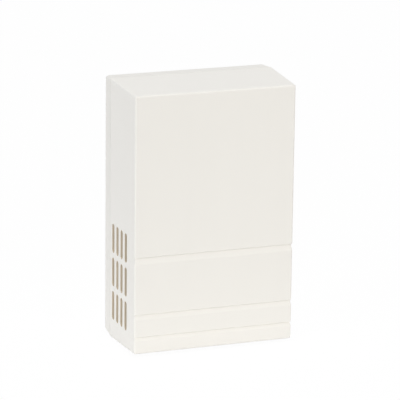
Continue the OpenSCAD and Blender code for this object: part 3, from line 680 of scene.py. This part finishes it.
def helix(bm, start, spread, turns, steps, cent):
    """Winds a round wire along X in an empty mesh: one turn from its section, start, then repeated."""
    ring = list({v for e in start for v in e.verts})
    pitch = spread / turns
    bmesh.ops.spin(
        bm, geom=ring + start, cent=cent, axis=(1, 0, 0), dvec=(pitch / steps, 0, 0),
        angle=2 * math.pi, steps=steps, use_merge=False, use_normal_flip=False, use_duplicate=False,
    )
    turn = bm.verts[:] + bm.edges[:] + bm.faces[:]
    for i in range(1, turns):
        made = bmesh.ops.duplicate(bm, geom=turn)
        verts = [v for v in made["geom"] if isinstance(v, bmesh.types.BMVert)]
        bmesh.ops.translate(bm, vec=(i * pitch, 0, 0), verts=verts)
    bmesh.ops.remove_doubles(bm, verts=bm.verts[:], dist=SAME_WIRE_POINT)
    bmesh.ops.holes_fill(bm, edges=[e for e in bm.edges if e.is_boundary], sides=0)


def wire_section(bm, x, y, z, radius, sides):
    """Round section of a wire that runs along Y at a point."""
    made = bmesh.ops.create_circle(
        bm, cap_ends=False, radius=radius, segments=sides,
        matrix=Matrix.Translation((x, y, z)) @ Matrix.Rotation(math.pi / 2, 4, "X"),
    )
    return list({e for v in made["verts"] for e in v.link_edges})


def drafted_box(bm, back, front, back_y, front_y):
    """Box whose back and front have their own half widths and half heights; returns its faces."""
    made = bmesh.ops.create_cube(bm, size=1)
    verts = made["verts"]
    ahead = [v for v in verts if v.co.y < 0]
    bmesh.ops.scale(bm, vec=(2 * back[0], back_y - front_y, 2 * back[1]), verts=verts)
    bmesh.ops.scale(bm, vec=(front[0] / back[0], 1, front[1] / back[1]), verts=ahead)
    bmesh.ops.translate(bm, vec=(0, (back_y + front_y) / 2, 0), verts=verts)
    return list({f for v in verts for f in v.link_faces})


def slot_loop(bm, case, side, y, z, grow, depth, shade):
    """Outline of a sound slot on one side of the cover, grown, sunk to a depth and given its shade."""
    radius = case.slot_width / 2 + grow
    made = bmesh.ops.create_circle(
        bm, cap_ends=False, radius=radius, segments=SLOT_POINTS,
        matrix=Matrix.Translation((0, y, z)) @ Matrix.Rotation(math.pi / 2, 4, "Y"),
    )
    verts = made["verts"]
    for way in (-1, 1):
        bmesh.ops.translate(
            bm, vec=(0, 0, way * (case.slot_length - case.slot_width) / 2),
            verts=[v for v in verts if (v.co.z - z) * way > 0],
        )
    layer = bm.verts.layers.float[SHADE]
    for v in verts:
        v.co.x = side * (case.half_width(v.co.y) - depth)
        v[layer] = shade
    return list({e for v in verts for e in v.link_edges})


def ring_round_front(bm, case, z):
    """Adds a level line of edges across the cover's front and as far round as the grooves go."""
    zone = [f for f in bm.faces if f.calc_center_bounds().y < case.groove_return - case.depth]
    edges = {e for f in zone for e in f.edges}
    verts = {v for f in zone for v in f.verts}
    bmesh.ops.bisect_plane(
        bm, geom=[*zone, *edges, *verts], dist=ON_CUT, plane_co=(0, 0, z), plane_no=(0, 0, 1)
    )


def cut_groove(bm, case, top, height):
    """Presses one groove into the cover's front, round its corners and out along its sides."""
    depth, turn, fade, front = case.groove_depth, case.groove_turn, case.groove_return, -case.depth
    deepest, foot = top - case.groove_lip, top - height
    for z in (top, deepest, foot):
        ring_round_front(bm, case, z)
    bm.normal_update()
    middle_y = front + depth + turn
    middle_x = case.half_width(front) - turn - depth * (1 - (depth + turn) / fade)
    for v in bm.verts:
        if abs(v.co.z - deepest) < SAME_POINT and v.co.y < front + fade - SAME_POINT:
            out = Vector((v.normal.x, v.normal.y)).normalized() * turn
            v.co.x = math.copysign(middle_x, v.co.x) + out.x
            v.co.y = middle_y + out.y
    for z in (foot - case.groove_foot / 2, foot + case.groove_foot / 2):
        ring_round_front(bm, case, z)


def side_face(faces, side):
    """The widest face that looks to one side."""
    return max((f for f in faces if f.normal.x * side > FACING), key=lambda f: f.calc_area())


class CHIME_OT_cover(bpy.types.Operator):
    """Build the cover: drafted shell, front grooves and side sound slots"""

    bl_idname = "chime.cover"
    bl_label = "Cover"
    bl_options = {"REGISTER", "UNDO"}

    def execute(self, context):
        case, finish = context.scene.chime_case, context.scene.chime_finish
        rim_y, front_y = -case.tray_depth - case.seam - case.rim_edge, -case.depth
        foot = -case.height / 2
        bm = bmesh.new()
        bm.verts.layers.float.new(SHADE)

        def shell(y, inset):
            """Box with the cover's draft, open at the back; returns its edges other than the rim's."""
            faces = drafted_box(
                bm, (case.half_width(rim_y) - inset, case.half_height(rim_y) - inset),
                (case.half_width(y) - inset, case.half_height(y) - inset), rim_y, y,
            )
            bm.normal_update()
            back = max(faces, key=lambda f: f.calc_center_median().y)
            corners = {e for f in faces for e in f.edges} - set(back.edges)
            bmesh.ops.delete(bm, geom=[back], context="FACES_ONLY")
            return list(corners)

        rounded(bm, shell(front_y, 0.0), case.edge, segments=5)
        bmesh.ops.bisect_plane(
            bm, geom=bm.verts[:] + bm.edges[:] + bm.faces[:], dist=ON_CUT,
            plane_co=(0, front_y + case.groove_return, 0), plane_no=(0, 1, 0),
        )
        cut_groove(bm, case, foot + case.upper_groove, case.upper_groove_height)
        cut_groove(bm, case, foot + case.middle_groove, case.middle_groove_height)
        cut_groove(bm, case, foot + case.lower_groove, case.lower_groove_height)
        outer = set(bm.faces)
        rounded(bm, shell(front_y + case.front_wall, case.wall), case.inner_edge, segments=2)
        inner = set(bm.faces) - outer
        bm.normal_update()

        low = foot + case.slot_low + case.slot_length / 2
        places = [
            (front_y + case.slot_front + column * case.slot_pitch, low + row * case.slot_row_pitch)
            for column in range(case.slot_columns) for row in range(case.slot_rows)
        ]
        mouth, relief = case.slot_edge, case.slot_relief
        bends = [math.radians(a) for a in MOUTH_BENDS]
        levels = [(mouth * (1 - math.sin(a)), mouth * (1 - math.cos(a)), a / bends[-1]) for a in bends]
        levels += [(0, case.wall - relief, 1), (relief, case.wall, 0)]
        for side in (-1, 1):
            loops = [[slot_loop(bm, case, side, y, z, *level) for level in levels] for y, z in places]
            for faces, level in ((outer, 0), (inner, -1)):
                flat = side_face([f for f in faces if f.is_valid], side)
                border = flat.edges[:]
                bmesh.ops.delete(bm, geom=[flat], context="FACES_ONLY")
                holes = [e for loop in loops for e in loop[level]]
                bmesh.ops.triangle_fill(bm, use_beauty=True, use_dissolve=False, edges=border + holes)
            for loop in loops:
                for first, second in zip(loop, loop[1:]):
                    bmesh.ops.bridge_loops(bm, edges=first + second)

        rim = [
            e for e in bm.edges
            if e.is_boundary and all(abs(v.co.y - rim_y) < SAME_POINT for v in e.verts)
        ]
        made = bmesh.ops.triangle_fill(bm, use_beauty=True, use_dissolve=False, edges=rim)["geom"]
        ring = [f for f in made if isinstance(f, bmesh.types.BMFace)]
        joined(bm)
        bmesh.ops.inset_region(
            bm, faces=ring, use_boundary=True, use_even_offset=True,
            thickness=case.rim_edge, depth=case.rim_edge,
        )
        material = moulded_case("cover_moulding", finish.cover, case, edge_highlight=0.4)
        stand_in("cover", bm, "cover_shell", "cover_plastic", material, sharp=40, weighted=True)
        return {"FINISHED"}


class CHIME_OT_base_tray(bpy.types.Operator):
    """Build the base tray, with its outer edges rounded and its posts and bosses softened"""

    bl_idname = "chime.base_tray"
    bl_label = "Base tray"
    bl_options = {"REGISTER", "UNDO"}

    def execute(self, context):
        case, finish = context.scene.chime_case, context.scene.chime_finish
        bm = copy_of("base_tray")

        def outside(v):
            wide = abs(v.co.x) > case.width / 2 - TRAY_MARGIN
            tall = abs(v.co.z) > case.height / 2 - TRAY_MARGIN
            return wide or tall

        def at_back(v):
            return abs(v.co.y) < ON_WALL

        corners = [
            e for e in sharp_edges(bm)
            if all(outside(v) for v in e.verts) and any(at_back(v) for v in e.verts)
        ]
        rounded(bm, corners, case.back_edge, segments=4)
        bm.normal_update()
        small = [e for e in sharp_edges(bm, degrees=50) if e.calc_length() > SHORTEST_EDGE]
        rounded(bm, small, case.small_edge, segments=2)
        material = moulded_case("tray_moulding", finish.tray, case, edge_highlight=0.0)
        stand_in("base_tray", bm, "chassis", "tray_plastic", material, sharp=40, weighted=True)
        return {"FINISHED"}


class CHIME_OT_tone_bars(bpy.types.Operator):
    """Build the two tone bars with broken edges"""

    bl_idname = "chime.tone_bars"
    bl_label = "Tone bars"
    bl_options = {"REGISTER", "UNDO"}

    def execute(self, context):
        works, finish = context.scene.chime_works, context.scene.chime_finish
        material = rolled_plate("bar_nickel", finish.bar, along="Z", gloss=0.2)
        for node in ("low_tone_bar", "high_tone_bar"):
            softened(node, "bar_steel", material, works.bar_edge, segments=3)
        return {"FINISHED"}


class CHIME_OT_bar_hangers(bpy.types.Operator):
    """Build the rubber grommets and the headed pins that hang the bars"""

    bl_idname = "chime.bar_hangers"
    bl_label = "Bar hangers"
    bl_options = {"REGISTER", "UNDO"}

    def execute(self, context):
        works, finish = context.scene.chime_works, context.scene.chime_finish
        black = rubber("grommet_rubber", finish.rubber)
        bright = zinc_plate("pin_zinc", finish.pin, tint=(0.52, 0.55, 0.62), gloss=0.2)
        inner, y = works.bar_inner, works.axis_y
        outer = inner + works.bar_thickness
        post, out = inner - works.grommet_proud, outer + works.grommet_proud
        bore, waist, rim = works.pin_radius + works.fit_gap, works.grommet_waist, works.grommet_radius
        grommet = [
            (bore, post), (rim, post), (rim, inner), (waist, inner),
            (waist, outer), (rim, outer), (rim, out), (bore, out),
        ]
        pin, end = works.pin_radius, post - works.pin_depth
        head, thick = works.head_radius, works.head_thickness
        pin_line = [(0, end), (pin, end), (pin, out), (head, out)]
        pin_line += [(head * wide, out + thick * high) for wide, high in HEAD_CROWN]
        pin_line += [(0, out + thick)]
        pins = bmesh.new()
        for node, side, still in (
            ("low_bar_grommets", -1, works.low_still), ("high_bar_grommets", 1, works.high_still),
        ):
            bm = bmesh.new()
            for z in (-still, still):
                turned(bm, [(r, side * x) for r, x in grommet], y, z, works.grommet_edge)
                turned(pins, [(r, side * x) for r, x in pin_line], y, z, works.metal_edge)
            joined(bm)
            stand_in(node, bm, "chassis", "black_rubber", black)
        joined(pins)
        stand_in("bar_pins", pins, "chassis", "pin_steel", bright)
        return {"FINISHED"}


class CHIME_OT_spools(bpy.types.Operator):
    """Build the two nylon spools"""

    bl_idname = "chime.spools"
    bl_label = "Spools"
    bl_options = {"REGISTER", "UNDO"}

    def execute(self, context):
        works, finish = context.scene.chime_works, context.scene.chime_finish
        material = nylon("spool_nylon_natural", finish.spool)
        bore, guide = works.core_radius + works.run_gap, works.rod_radius + works.run_gap
        tube, rim = works.tube_radius, works.spool_radius
        snout, out = works.snout, works.flange_face
        inside, shoulder = out - works.flange_thickness, snout - works.guide_length
        outline = [
            (bore, -snout), (tube, -snout), (tube, -out), (rim, -out), (rim, -inside), (tube, -inside),
            (tube, inside), (rim, inside), (rim, out), (tube, out), (tube, snout), (guide, snout),
            (guide, shoulder), (bore, shoulder),
        ]
        for node in ("front_bobbin", "rear_bobbin"):
            bm = bmesh.new()
            turned(bm, outline, works.axis_y, works.axis_z(node), works.spool_edge, steps=96)
            joined(bm)
            stand_in(node, bm, "chassis", "spool_nylon", material)
        return {"FINISHED"}


class CHIME_OT_windings(bpy.types.Operator):
    """Wind the copper wire on both spools, with a turn of tape over the leads"""

    bl_idname = "chime.windings"
    bl_label = "Windings"
    bl_options = {"REGISTER", "UNDO"}

    def execute(self, context):
        works, finish = context.scene.chime_works, context.scene.chime_finish
        copper = enamelled_copper("winding_copper", finish.copper)
        amber = tape("winding_tape")
        y, radius, wire = works.axis_y, works.winding_radius, works.wire
        half = works.flange_face - works.flange_thickness - works.run_gap
        turns = int((2 * half - wire) / (WIRE_LAY * wire))
        line, inner = radius - wire / 2, works.tube_radius + works.run_gap
        core = line - WIRE_SINK * wire
        body = [(inner, -half), (core, -half), (core, half), (inner, half)]
        low, high = radius - works.fit_gap, radius + works.tape_proud
        for node, middle in (("front_winding", works.front_tape), ("rear_winding", works.rear_tape)):
            z = works.axis_z(node)
            bm = bmesh.new()
            section = wire_section(bm, -half + wire / 2, y, z + line, wire / 2, sides=6)
            helix(bm, section, 2 * half - wire, turns, steps=40, cent=(0, y, z))
            turned(bm, body, y, z)
            joined(bm)
            stand_in(node, bm, "chassis", "coil_copper", copper, sharp=60)
            left, right = middle - works.tape_width / 2, middle + works.tape_width / 2
            band = [(low, left), (high, left), (high, right), (low, right)]
            bm = bmesh.new()
            turned(bm, band, y, z, works.tape_edge, steps=96)
            joined(bm)
            finished("chime_" + node + "_tape", bm, "chassis", "spool_nylon", amber)
        return {"FINISHED"}


class CHIME_OT_coil_frames(bpy.types.Operator):
    """Build the two bent frames of the coils"""

    bl_idname = "chime.coil_frames"
    bl_label = "Coil frames"
    bl_options = {"REGISTER", "UNDO"}

    def execute(self, context):
        works, finish = context.scene.chime_works, context.scene.chime_finish
        material = zinc_plate("frame_zinc", finish.yoke, tint=(0.56, 0.58, 0.64), gloss=0.24)
        for node in ("front_yoke", "rear_yoke"):
            softened(node, "yoke_steel", material, works.metal_edge)
        return {"FINISHED"}


class CHIME_OT_plungers(bpy.types.Operator):
    """Build the two plungers: steel cores, nylon strikers and caps, and the rubber stop"""

    bl_idname = "chime.plungers"
    bl_label = "Plungers"
    bl_options = {"REGISTER", "UNDO"}

    def execute(self, context):
        works, finish = context.scene.chime_works, context.scene.chime_finish
        steel = ground_steel("core_ground", finish.core)
        white = nylon("striker_nylon_natural", finish.striker)
        black = rubber("stop_rubber", finish.rubber)
        core, rod, spigot = works.core_radius, works.rod_radius, works.spigot_radius
        left = works.core_left()
        right = left + works.core_length
        hole, deep = spigot + works.fit_gap, works.spigot_length + works.fit_gap
        chamfer = works.core_chamfer
        core_line = [
            (0, left + deep), (hole, left + deep), (hole, left), (core - chamfer, left),
            (core, left + chamfer), (core, right - chamfer), (core - chamfer, right), (hole, right),
            (hole, right - deep), (0, right - deep),
        ]
        cap, cap_face = works.cap_radius, left - works.cap_thickness
        left_in, right_in = left + works.spigot_length, right - works.spigot_length
        cap_line = [(cap, cap_face), (cap, left), (spigot, left), (spigot, left_in), (0, left_in)]
        plain_cap = [(0, cap_face)] + cap_line
        rod_line = [(0, right_in), (spigot, right_in), (spigot, right), (rod, right)]
        rod_end = dome(rod, works.bar_inner - works.strike_gap, 1)
        tip = works.tip_radius
        tip_line = [*reversed(dome(tip, cap_face - works.tip_length, -1)), (tip, cap_face)]
        snout, flange, washer = works.snout, works.stop_radius, works.washer_radius
        stop = snout + works.washer_thickness
        stop_end = stop + works.stop_thickness
        collar = [(rod, stop), (flange, stop), (flange, stop_end), (rod, stop_end)]
        bore = rod + works.run_gap
        washer_line = [(bore, snout), (washer, snout), (washer, stop), (bore, stop)]
        # The cap and the washer have the corners of their outlines rounded, and the others their edges
        for node, outline, soft, body, slot, material in (
            ("front_plunger", core_line, 0, "front_ram", "core_steel", steel),
            ("rear_plunger", core_line, 0, "rear_ram", "core_steel", steel),
            ("front_left_striker", tip_line + cap_line, 0, "front_ram", "striker_nylon", white),
            ("rear_spring_cap", plain_cap, works.cap_edge, "rear_ram", "striker_nylon", white),
            ("front_right_striker", rod_line + rod_end, 0, "front_ram", "striker_nylon", white),
            ("rear_striker", rod_line + collar + rod_end, 0, "rear_ram", "striker_nylon", white),
            ("rear_stop_washer", washer_line, works.washer_edge, "chassis", "black_rubber", black),
        ):
            bm = bmesh.new()
            turned(bm, outline, works.axis_y, works.axis_z(node), soft, steps=64)
            joined(bm)
            if not soft:
                rounded(bm, sharp_edges(bm, degrees=40), works.striker_edge, segments=2)
            stand_in(node, bm, body, slot, material)
        return {"FINISHED"}


class CHIME_OT_springs(bpy.types.Operator):
    """Wind the two return springs"""

    bl_idname = "chime.springs"
    bl_label = "Springs"
    bl_options = {"REGISTER", "UNDO"}

    def execute(self, context):
        works, finish = context.scene.chime_works, context.scene.chime_finish
        material = rolled_plate("spring_wire", finish.spring, along="Y", gloss=0.24)
        y, radius = works.axis_y, works.spring_wire / 2
        left = works.core_left() + radius + works.fit_gap
        right = -works.snout - radius - works.fit_gap
        for node, joint in (("front_spring", "front_strike"), ("rear_spring", "rear_strike")):
            z = works.axis_z(node)
            bm = bmesh.new()
            section = wire_section(bm, left, y, z + works.spring_radius, radius, sides=12)
            helix(bm, section, right - left, works.spring_turns, steps=48, cent=(0, y, z))
            joined(bm)
            piece = stand_in(node, bm, "chassis", "spring_steel", material, sharp=60)
            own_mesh(piece)
        return {"FINISHED"}


class CHIME_OT_terminals(bpy.types.Operator):
    """Build the terminal block with its brass plates and clamp washers"""

    bl_idname = "chime.terminals"
    bl_label = "Terminals"
    bl_options = {"REGISTER", "UNDO"}

    def execute(self, context):
        works, finish = context.scene.chime_works, context.scene.chime_finish
        moulding = phenolic("block_moulding", finish.block)
        stamped = brass("plate_brass", finish.terminal, lines=(30, 1800, 1800))
        pressed = brass("washer_brass", finish.terminal, lines=(1600, 1600, 40))
        softened("terminal_block", "block_plastic", moulding, works.block_edge)
        softened("terminal_plates", "terminal_brass", stamped, works.metal_edge)
        softened("terminal_washers", "terminal_brass", pressed, works.clamp_edge)
        return {"FINISHED"}


class CHIME_OT_screws(bpy.types.Operator):
    """Build the slotted screws of the terminals, the block and the coil frames"""

    bl_idname = "chime.screws"
    bl_label = "Screws"
    bl_options = {"REGISTER", "UNDO"}

    def execute(self, context):
        works, finish = context.scene.chime_works, context.scene.chime_finish
        passivated = zinc_plate("screw_zinc", finish.screw, tint=(0.62, 0.52, 0.34), gloss=0.24)
        turned_brass = brass("screw_brass_turned", finish.terminal_screw, lines=(1400, 1400, 1400))
        for node, slot, material in (
            ("terminal_screws", "screw_brass", turned_brass),
            ("block_screws", "screw_steel", passivated),
            ("yoke_screws", "screw_steel", passivated),
        ):
            softened(node, slot, material, works.metal_edge, segments=3, degrees=45)
        return {"FINISHED"}


# Routes of the coils' leads in millimetres, from the winding to the tag, as in the part's source
FRONT_LEADS = (
    (
        (-14, -28, 29.3), (-14, -28, 33), (-14.5, -25, 39),
        (-15, -20.5, 44.5), (-15, -18.6, 48), (-15, -18.6, 50.5),
    ),
    (
        (-8, -28, 29.3), (-8, -28, 33), (-5, -25.5, 39),
        (-1.5, -20.5, 44.5), (-1, -18.6, 48), (-1, -18.6, 50.5),
    ),
)
REAR_LEADS = (
    (
        (14, -28, -5.7), (14, -27.5, -3), (14, -24, 0), (14, -18, 0), (14, -12, 0),
        (14, -7, 1.5), (14, -4, 5.5), (14, -3.2, 12), (14, -3.2, 23), (14, -3.2, 34),
        (14.3, -5.5, 41), (15, -11, 45.5), (15, -16, 48), (15, -16.4, 50.5),
    ),
    (
        (9, -28, -5.7), (9, -27.5, -3), (9.5, -24, 0), (11, -18, 0), (12, -12, 0),
        (12.3, -7, 1.5), (12.4, -4, 5.5), (12.4, -3.2, 12), (12.4, -3.2, 23), (12.4, -3.2, 34),
        (12.2, -6, 41), (8, -12, 45.5), (2.5, -15.8, 48), (1, -16.4, 50.5),
    ),
)


def lead_tube(route, radius):
    """Mesh of a round lead on a smooth curve through its points."""
    curve = bpy.data.curves.new("lead_line", "CURVE")
    curve.dimensions = "3D"
    curve.bevel_depth = radius
    curve.bevel_resolution = 3
    curve.resolution_u = 10
    curve.use_fill_caps = True
    spline = curve.splines.new("BEZIER")
    spline.bezier_points.add(len(route) - 1)
    points = [Vector(p) * MM for p in route]
    for i, knot in enumerate(spline.bezier_points):
        before, after = points[max(0, i - 1)], points[min(len(points) - 1, i + 1)]
        # A sixth of the way between its neighbours makes the curve run smoothly through each point
        reach = (after - before) / 6
        knot.handle_left_type = knot.handle_right_type = "FREE"
        knot.co = points[i]
        knot.handle_left = points[i] - reach
        knot.handle_right = points[i] + reach
    line = bpy.data.objects.new("lead_line", curve)
    mesh = bpy.data.meshes.new_from_object(line)
    bpy.data.objects.remove(line)
    bpy.data.curves.remove(curve)
    return mesh


def solder_bead(bm, x, y, z, way):
    """Bead on a tag's face at y, cut flat just inside it. The tag lies behind that face where way is 1,
    and before it where way is -1."""
    made = bmesh.ops.create_icosphere(
        bm, subdivisions=3, radius=1, matrix=Matrix.Translation((x, y, z)) @ Matrix.Diagonal((*BEAD, 1))
    )
    faces = {f for v in made["verts"] for f in v.link_faces}
    edges = {e for f in faces for e in f.edges}
    flat = bmesh.ops.bisect_plane(
        bm, geom=[*made["verts"], *edges, *faces], dist=SAME_POINT,
        plane_co=(0, y + way * BEAD_SINK, 0), plane_no=(0, way, 0), clear_outer=True,
    )
    cut = [e for e in flat["geom_cut"] if isinstance(e, bmesh.types.BMEdge)]
    bmesh.ops.holes_fill(bm, edges=cut, sides=0)


class CHIME_OT_leads(bpy.types.Operator):
    """Lay the coils' leads to the terminal tags, and solder their ends"""

    bl_idname = "chime.leads"
    bl_label = "Coil leads"
    bl_options = {"REGISTER", "UNDO"}

    def execute(self, context):
        works, finish = context.scene.chime_works, context.scene.chime_finish
        beads = bmesh.new()
        for node, routes, slot, shade in (
            ("front_coil_leads", FRONT_LEADS, "red_lead", finish.front_lead),
            ("rear_coil_leads", REAR_LEADS, "blue_lead", finish.rear_lead),
        ):
            bm = bmesh.new()
            for route in routes:
                mesh = lead_tube(route, works.lead / 2)
                bm.from_mesh(mesh)
                bpy.data.meshes.remove(mesh)
                end = Vector(route[-1]) * MM
                in_front = end.y < works.tag_face + works.tag_thickness / 2
                face = works.tag_face if in_front else works.tag_face + works.tag_thickness
                solder_bead(beads, end.x, face, end.z - BEAD_DROP, 1 if in_front else -1)
            joined(bm)
            stand_in(node, bm, "chassis", slot, insulation(node + "_sleeve", shade), sharp=60)
        joined(beads)
        finished("chime_solder", beads, "chassis", "terminal_brass", solder("tag_solder"), sharp=50)
        return {"FINISHED"}


class CHIME_OT_stage(bpy.types.Operator):
    """Set the floor, the soft light and the camera"""

    bl_idname = "chime.stage"
    bl_label = "Stage"
    bl_options = {"REGISTER", "UNDO"}

    def floor(self, stage, case):
        bm = bmesh.new()
        bmesh.ops.create_grid(
            bm, x_segments=1, y_segments=1, size=HALF_FLOOR,
            matrix=Matrix.Translation((0, 0, -case.height / 2 - FLOOR_DROP)),
        )
        mesh = bpy.data.meshes.new("stage_floor")
        bm.to_mesh(mesh)
        bm.free()
        f = Finish("stage_pale")
        clouds = f.noise(3)
        pale = f.mixed((0.8, 0.8, 0.8, 1), (0.84, 0.84, 0.84, 1), clouds)
        board = f.add("ShaderNodeBsdfDiffuse", {}, {"Color": pale})
        wide = abs(f.axis("X")) - case.width / 2
        away = wide.sum("MAXIMUM", wide, abs(f.axis("Y") + case.depth / 2) - case.depth / 2)
        outside = f.ramp(away, *GLOW_START)
        wide_pool = f.ramp(away, *WIDE_POOL, stage.floor_glow, 0.0)
        foot_pool = f.ramp(away, *FOOT_POOL, stage.foot_glow, 0.0)
        glow = f.add(
            "ShaderNodeEmission", {},
            {"Color": rgba(stage.cool), "Strength": outside * (wide_pool + foot_pool)},
        )
        table = f.add("ShaderNodeAddShader", {}, {0: board, 1: glow})
        white = f.add("ShaderNodeEmission", {}, {"Color": (1, 1, 1, 1), "Strength": 1.0})
        share = f.straight_to_camera() * stage.floor_white
        shown = f.add("ShaderNodeMixShader", {}, {0: share, 1: table, 2: white})
        f.add("ShaderNodeOutputMaterial", {}, {"Surface": shown})
        mesh.materials.append(f.material)
        floor = bpy.data.objects.new("stage_floor", mesh)
        bpy.context.scene.collection.objects.link(floor)

    def sky(self, stage):
        world = bpy.data.worlds.new("stage_sky")
        world.use_nodes = True
        n = Nodes(world.node_tree)
        seen = n.straight_to_camera()
        tint = n.mixed(rgba(stage.cool), (1, 1, 1, 1), seen)
        way = n.add("ShaderNodeTexCoord", {}, {}, "Generated")
        height = n.add("ShaderNodeSeparateXYZ", {}, {0: way}, "Z")
        level = n.ramp(height, 0.0, 1.0, stage.horizon, stage.zenith)
        strength = level + seen * (1 - level)
        light = n.add("ShaderNodeBackground", {}, {"Color": tint, "Strength": strength})
        n.add("ShaderNodeOutputWorld", {}, {"Surface": light})
        bpy.context.scene.world = world

    def lamp(self, name, place, target, size, power, tint):
        light = bpy.data.lights.new(name, "AREA")
        light.shape = "DISK"
        light.size = size
        light.energy = power
        light.color = tint
        lamp = bpy.data.objects.new(name, light)
        lamp.location = place
        lamp.rotation_mode = "QUATERNION"
        lamp.rotation_quaternion = (Vector(target) - Vector(place)).to_track_quat("-Z", "Y")
        bpy.context.scene.collection.objects.link(lamp)

    def camera(self, stage):
        turn, tilt, roll = -stage.turn, stage.tilt, stage.roll
        back = Vector((math.sin(turn) * math.cos(tilt), -math.cos(turn) * math.cos(tilt), math.sin(tilt)))
        right = Vector((math.cos(turn), math.sin(turn), 0))
        up = back.cross(right)
        rolled_right = math.cos(roll) * right + math.sin(roll) * up
        rolled_up = math.cos(roll) * up - math.sin(roll) * right
        data = bpy.data.cameras.new("stage_camera")
        data.sensor_fit = "HORIZONTAL"
        data.sensor_width = stage.sensor
        data.lens = stage.lens
        camera = bpy.data.objects.new("stage_camera", data)
        facing = Matrix((rolled_right, rolled_up, back)).transposed().to_4x4()
        camera.matrix_world = Matrix.Translation(stage.eye) @ facing
        bpy.context.scene.collection.objects.link(camera)
        bpy.context.scene.camera = camera

    def execute(self, context):
        stage, case = context.scene.chime_stage, context.scene.chime_case
        self.floor(stage, case)
        self.sky(stage)
        middle = (0, -case.depth / 2, 0)
        self.lamp("stage_key", stage.key_place, middle, stage.key_size, stage.key, stage.cool)
        self.lamp("stage_fill", stage.fill_place, middle, stage.fill_size, stage.fill, stage.warm)
        self.camera(stage)
        view = context.scene.view_settings
        view.view_transform = "Standard"
        return {"FINISHED"}


PIECES = (
    CHIME_OT_cover, CHIME_OT_base_tray, CHIME_OT_tone_bars, CHIME_OT_bar_hangers, CHIME_OT_spools,
    CHIME_OT_windings, CHIME_OT_coil_frames, CHIME_OT_plungers, CHIME_OT_springs, CHIME_OT_terminals,
    CHIME_OT_screws, CHIME_OT_leads, CHIME_OT_stage,
)


class CHIME_PT_sidebar(bpy.types.Panel):
    """Lists the pieces of the chime"""

    bl_idname = "CHIME_PT_sidebar"
    bl_label = "Doorbell chime"
    bl_space_type = "VIEW_3D"
    bl_region_type = "UI"
    bl_category = "Chime"

    def draw(self, context):
        for piece in PIECES:
            self.layout.operator(piece.bl_idname)


GROUPS = {
    "chime_case": ChimeCase,
    "chime_works": ChimeWorks,
    "chime_finish": ChimeFinish,
    "chime_stage": ChimeStage,
}


def register():
    for group in GROUPS.values():
        bpy.utils.register_class(group)
    for name, group in GROUPS.items():
        setattr(bpy.types.Scene, name, PointerProperty(type=group))
    for cls in (*PIECES, CHIME_PT_sidebar):
        bpy.utils.register_class(cls)


def unregister():
    for cls in (CHIME_PT_sidebar, *reversed(PIECES)):
        bpy.utils.unregister_class(cls)
    for name, group in GROUPS.items():
        delattr(bpy.types.Scene, name)
        bpy.utils.unregister_class(group)


def main():
    register()
    bpy.ops.chime.cover()
    bpy.ops.chime.base_tray()
    bpy.ops.chime.tone_bars()
    bpy.ops.chime.bar_hangers()
    bpy.ops.chime.spools()
    bpy.ops.chime.windings()
    bpy.ops.chime.coil_frames()
    bpy.ops.chime.plungers()
    bpy.ops.chime.springs()
    bpy.ops.chime.terminals()
    bpy.ops.chime.screws()
    bpy.ops.chime.leads()
    bpy.ops.chime.stage()


if __name__ == "__main__":
    main()
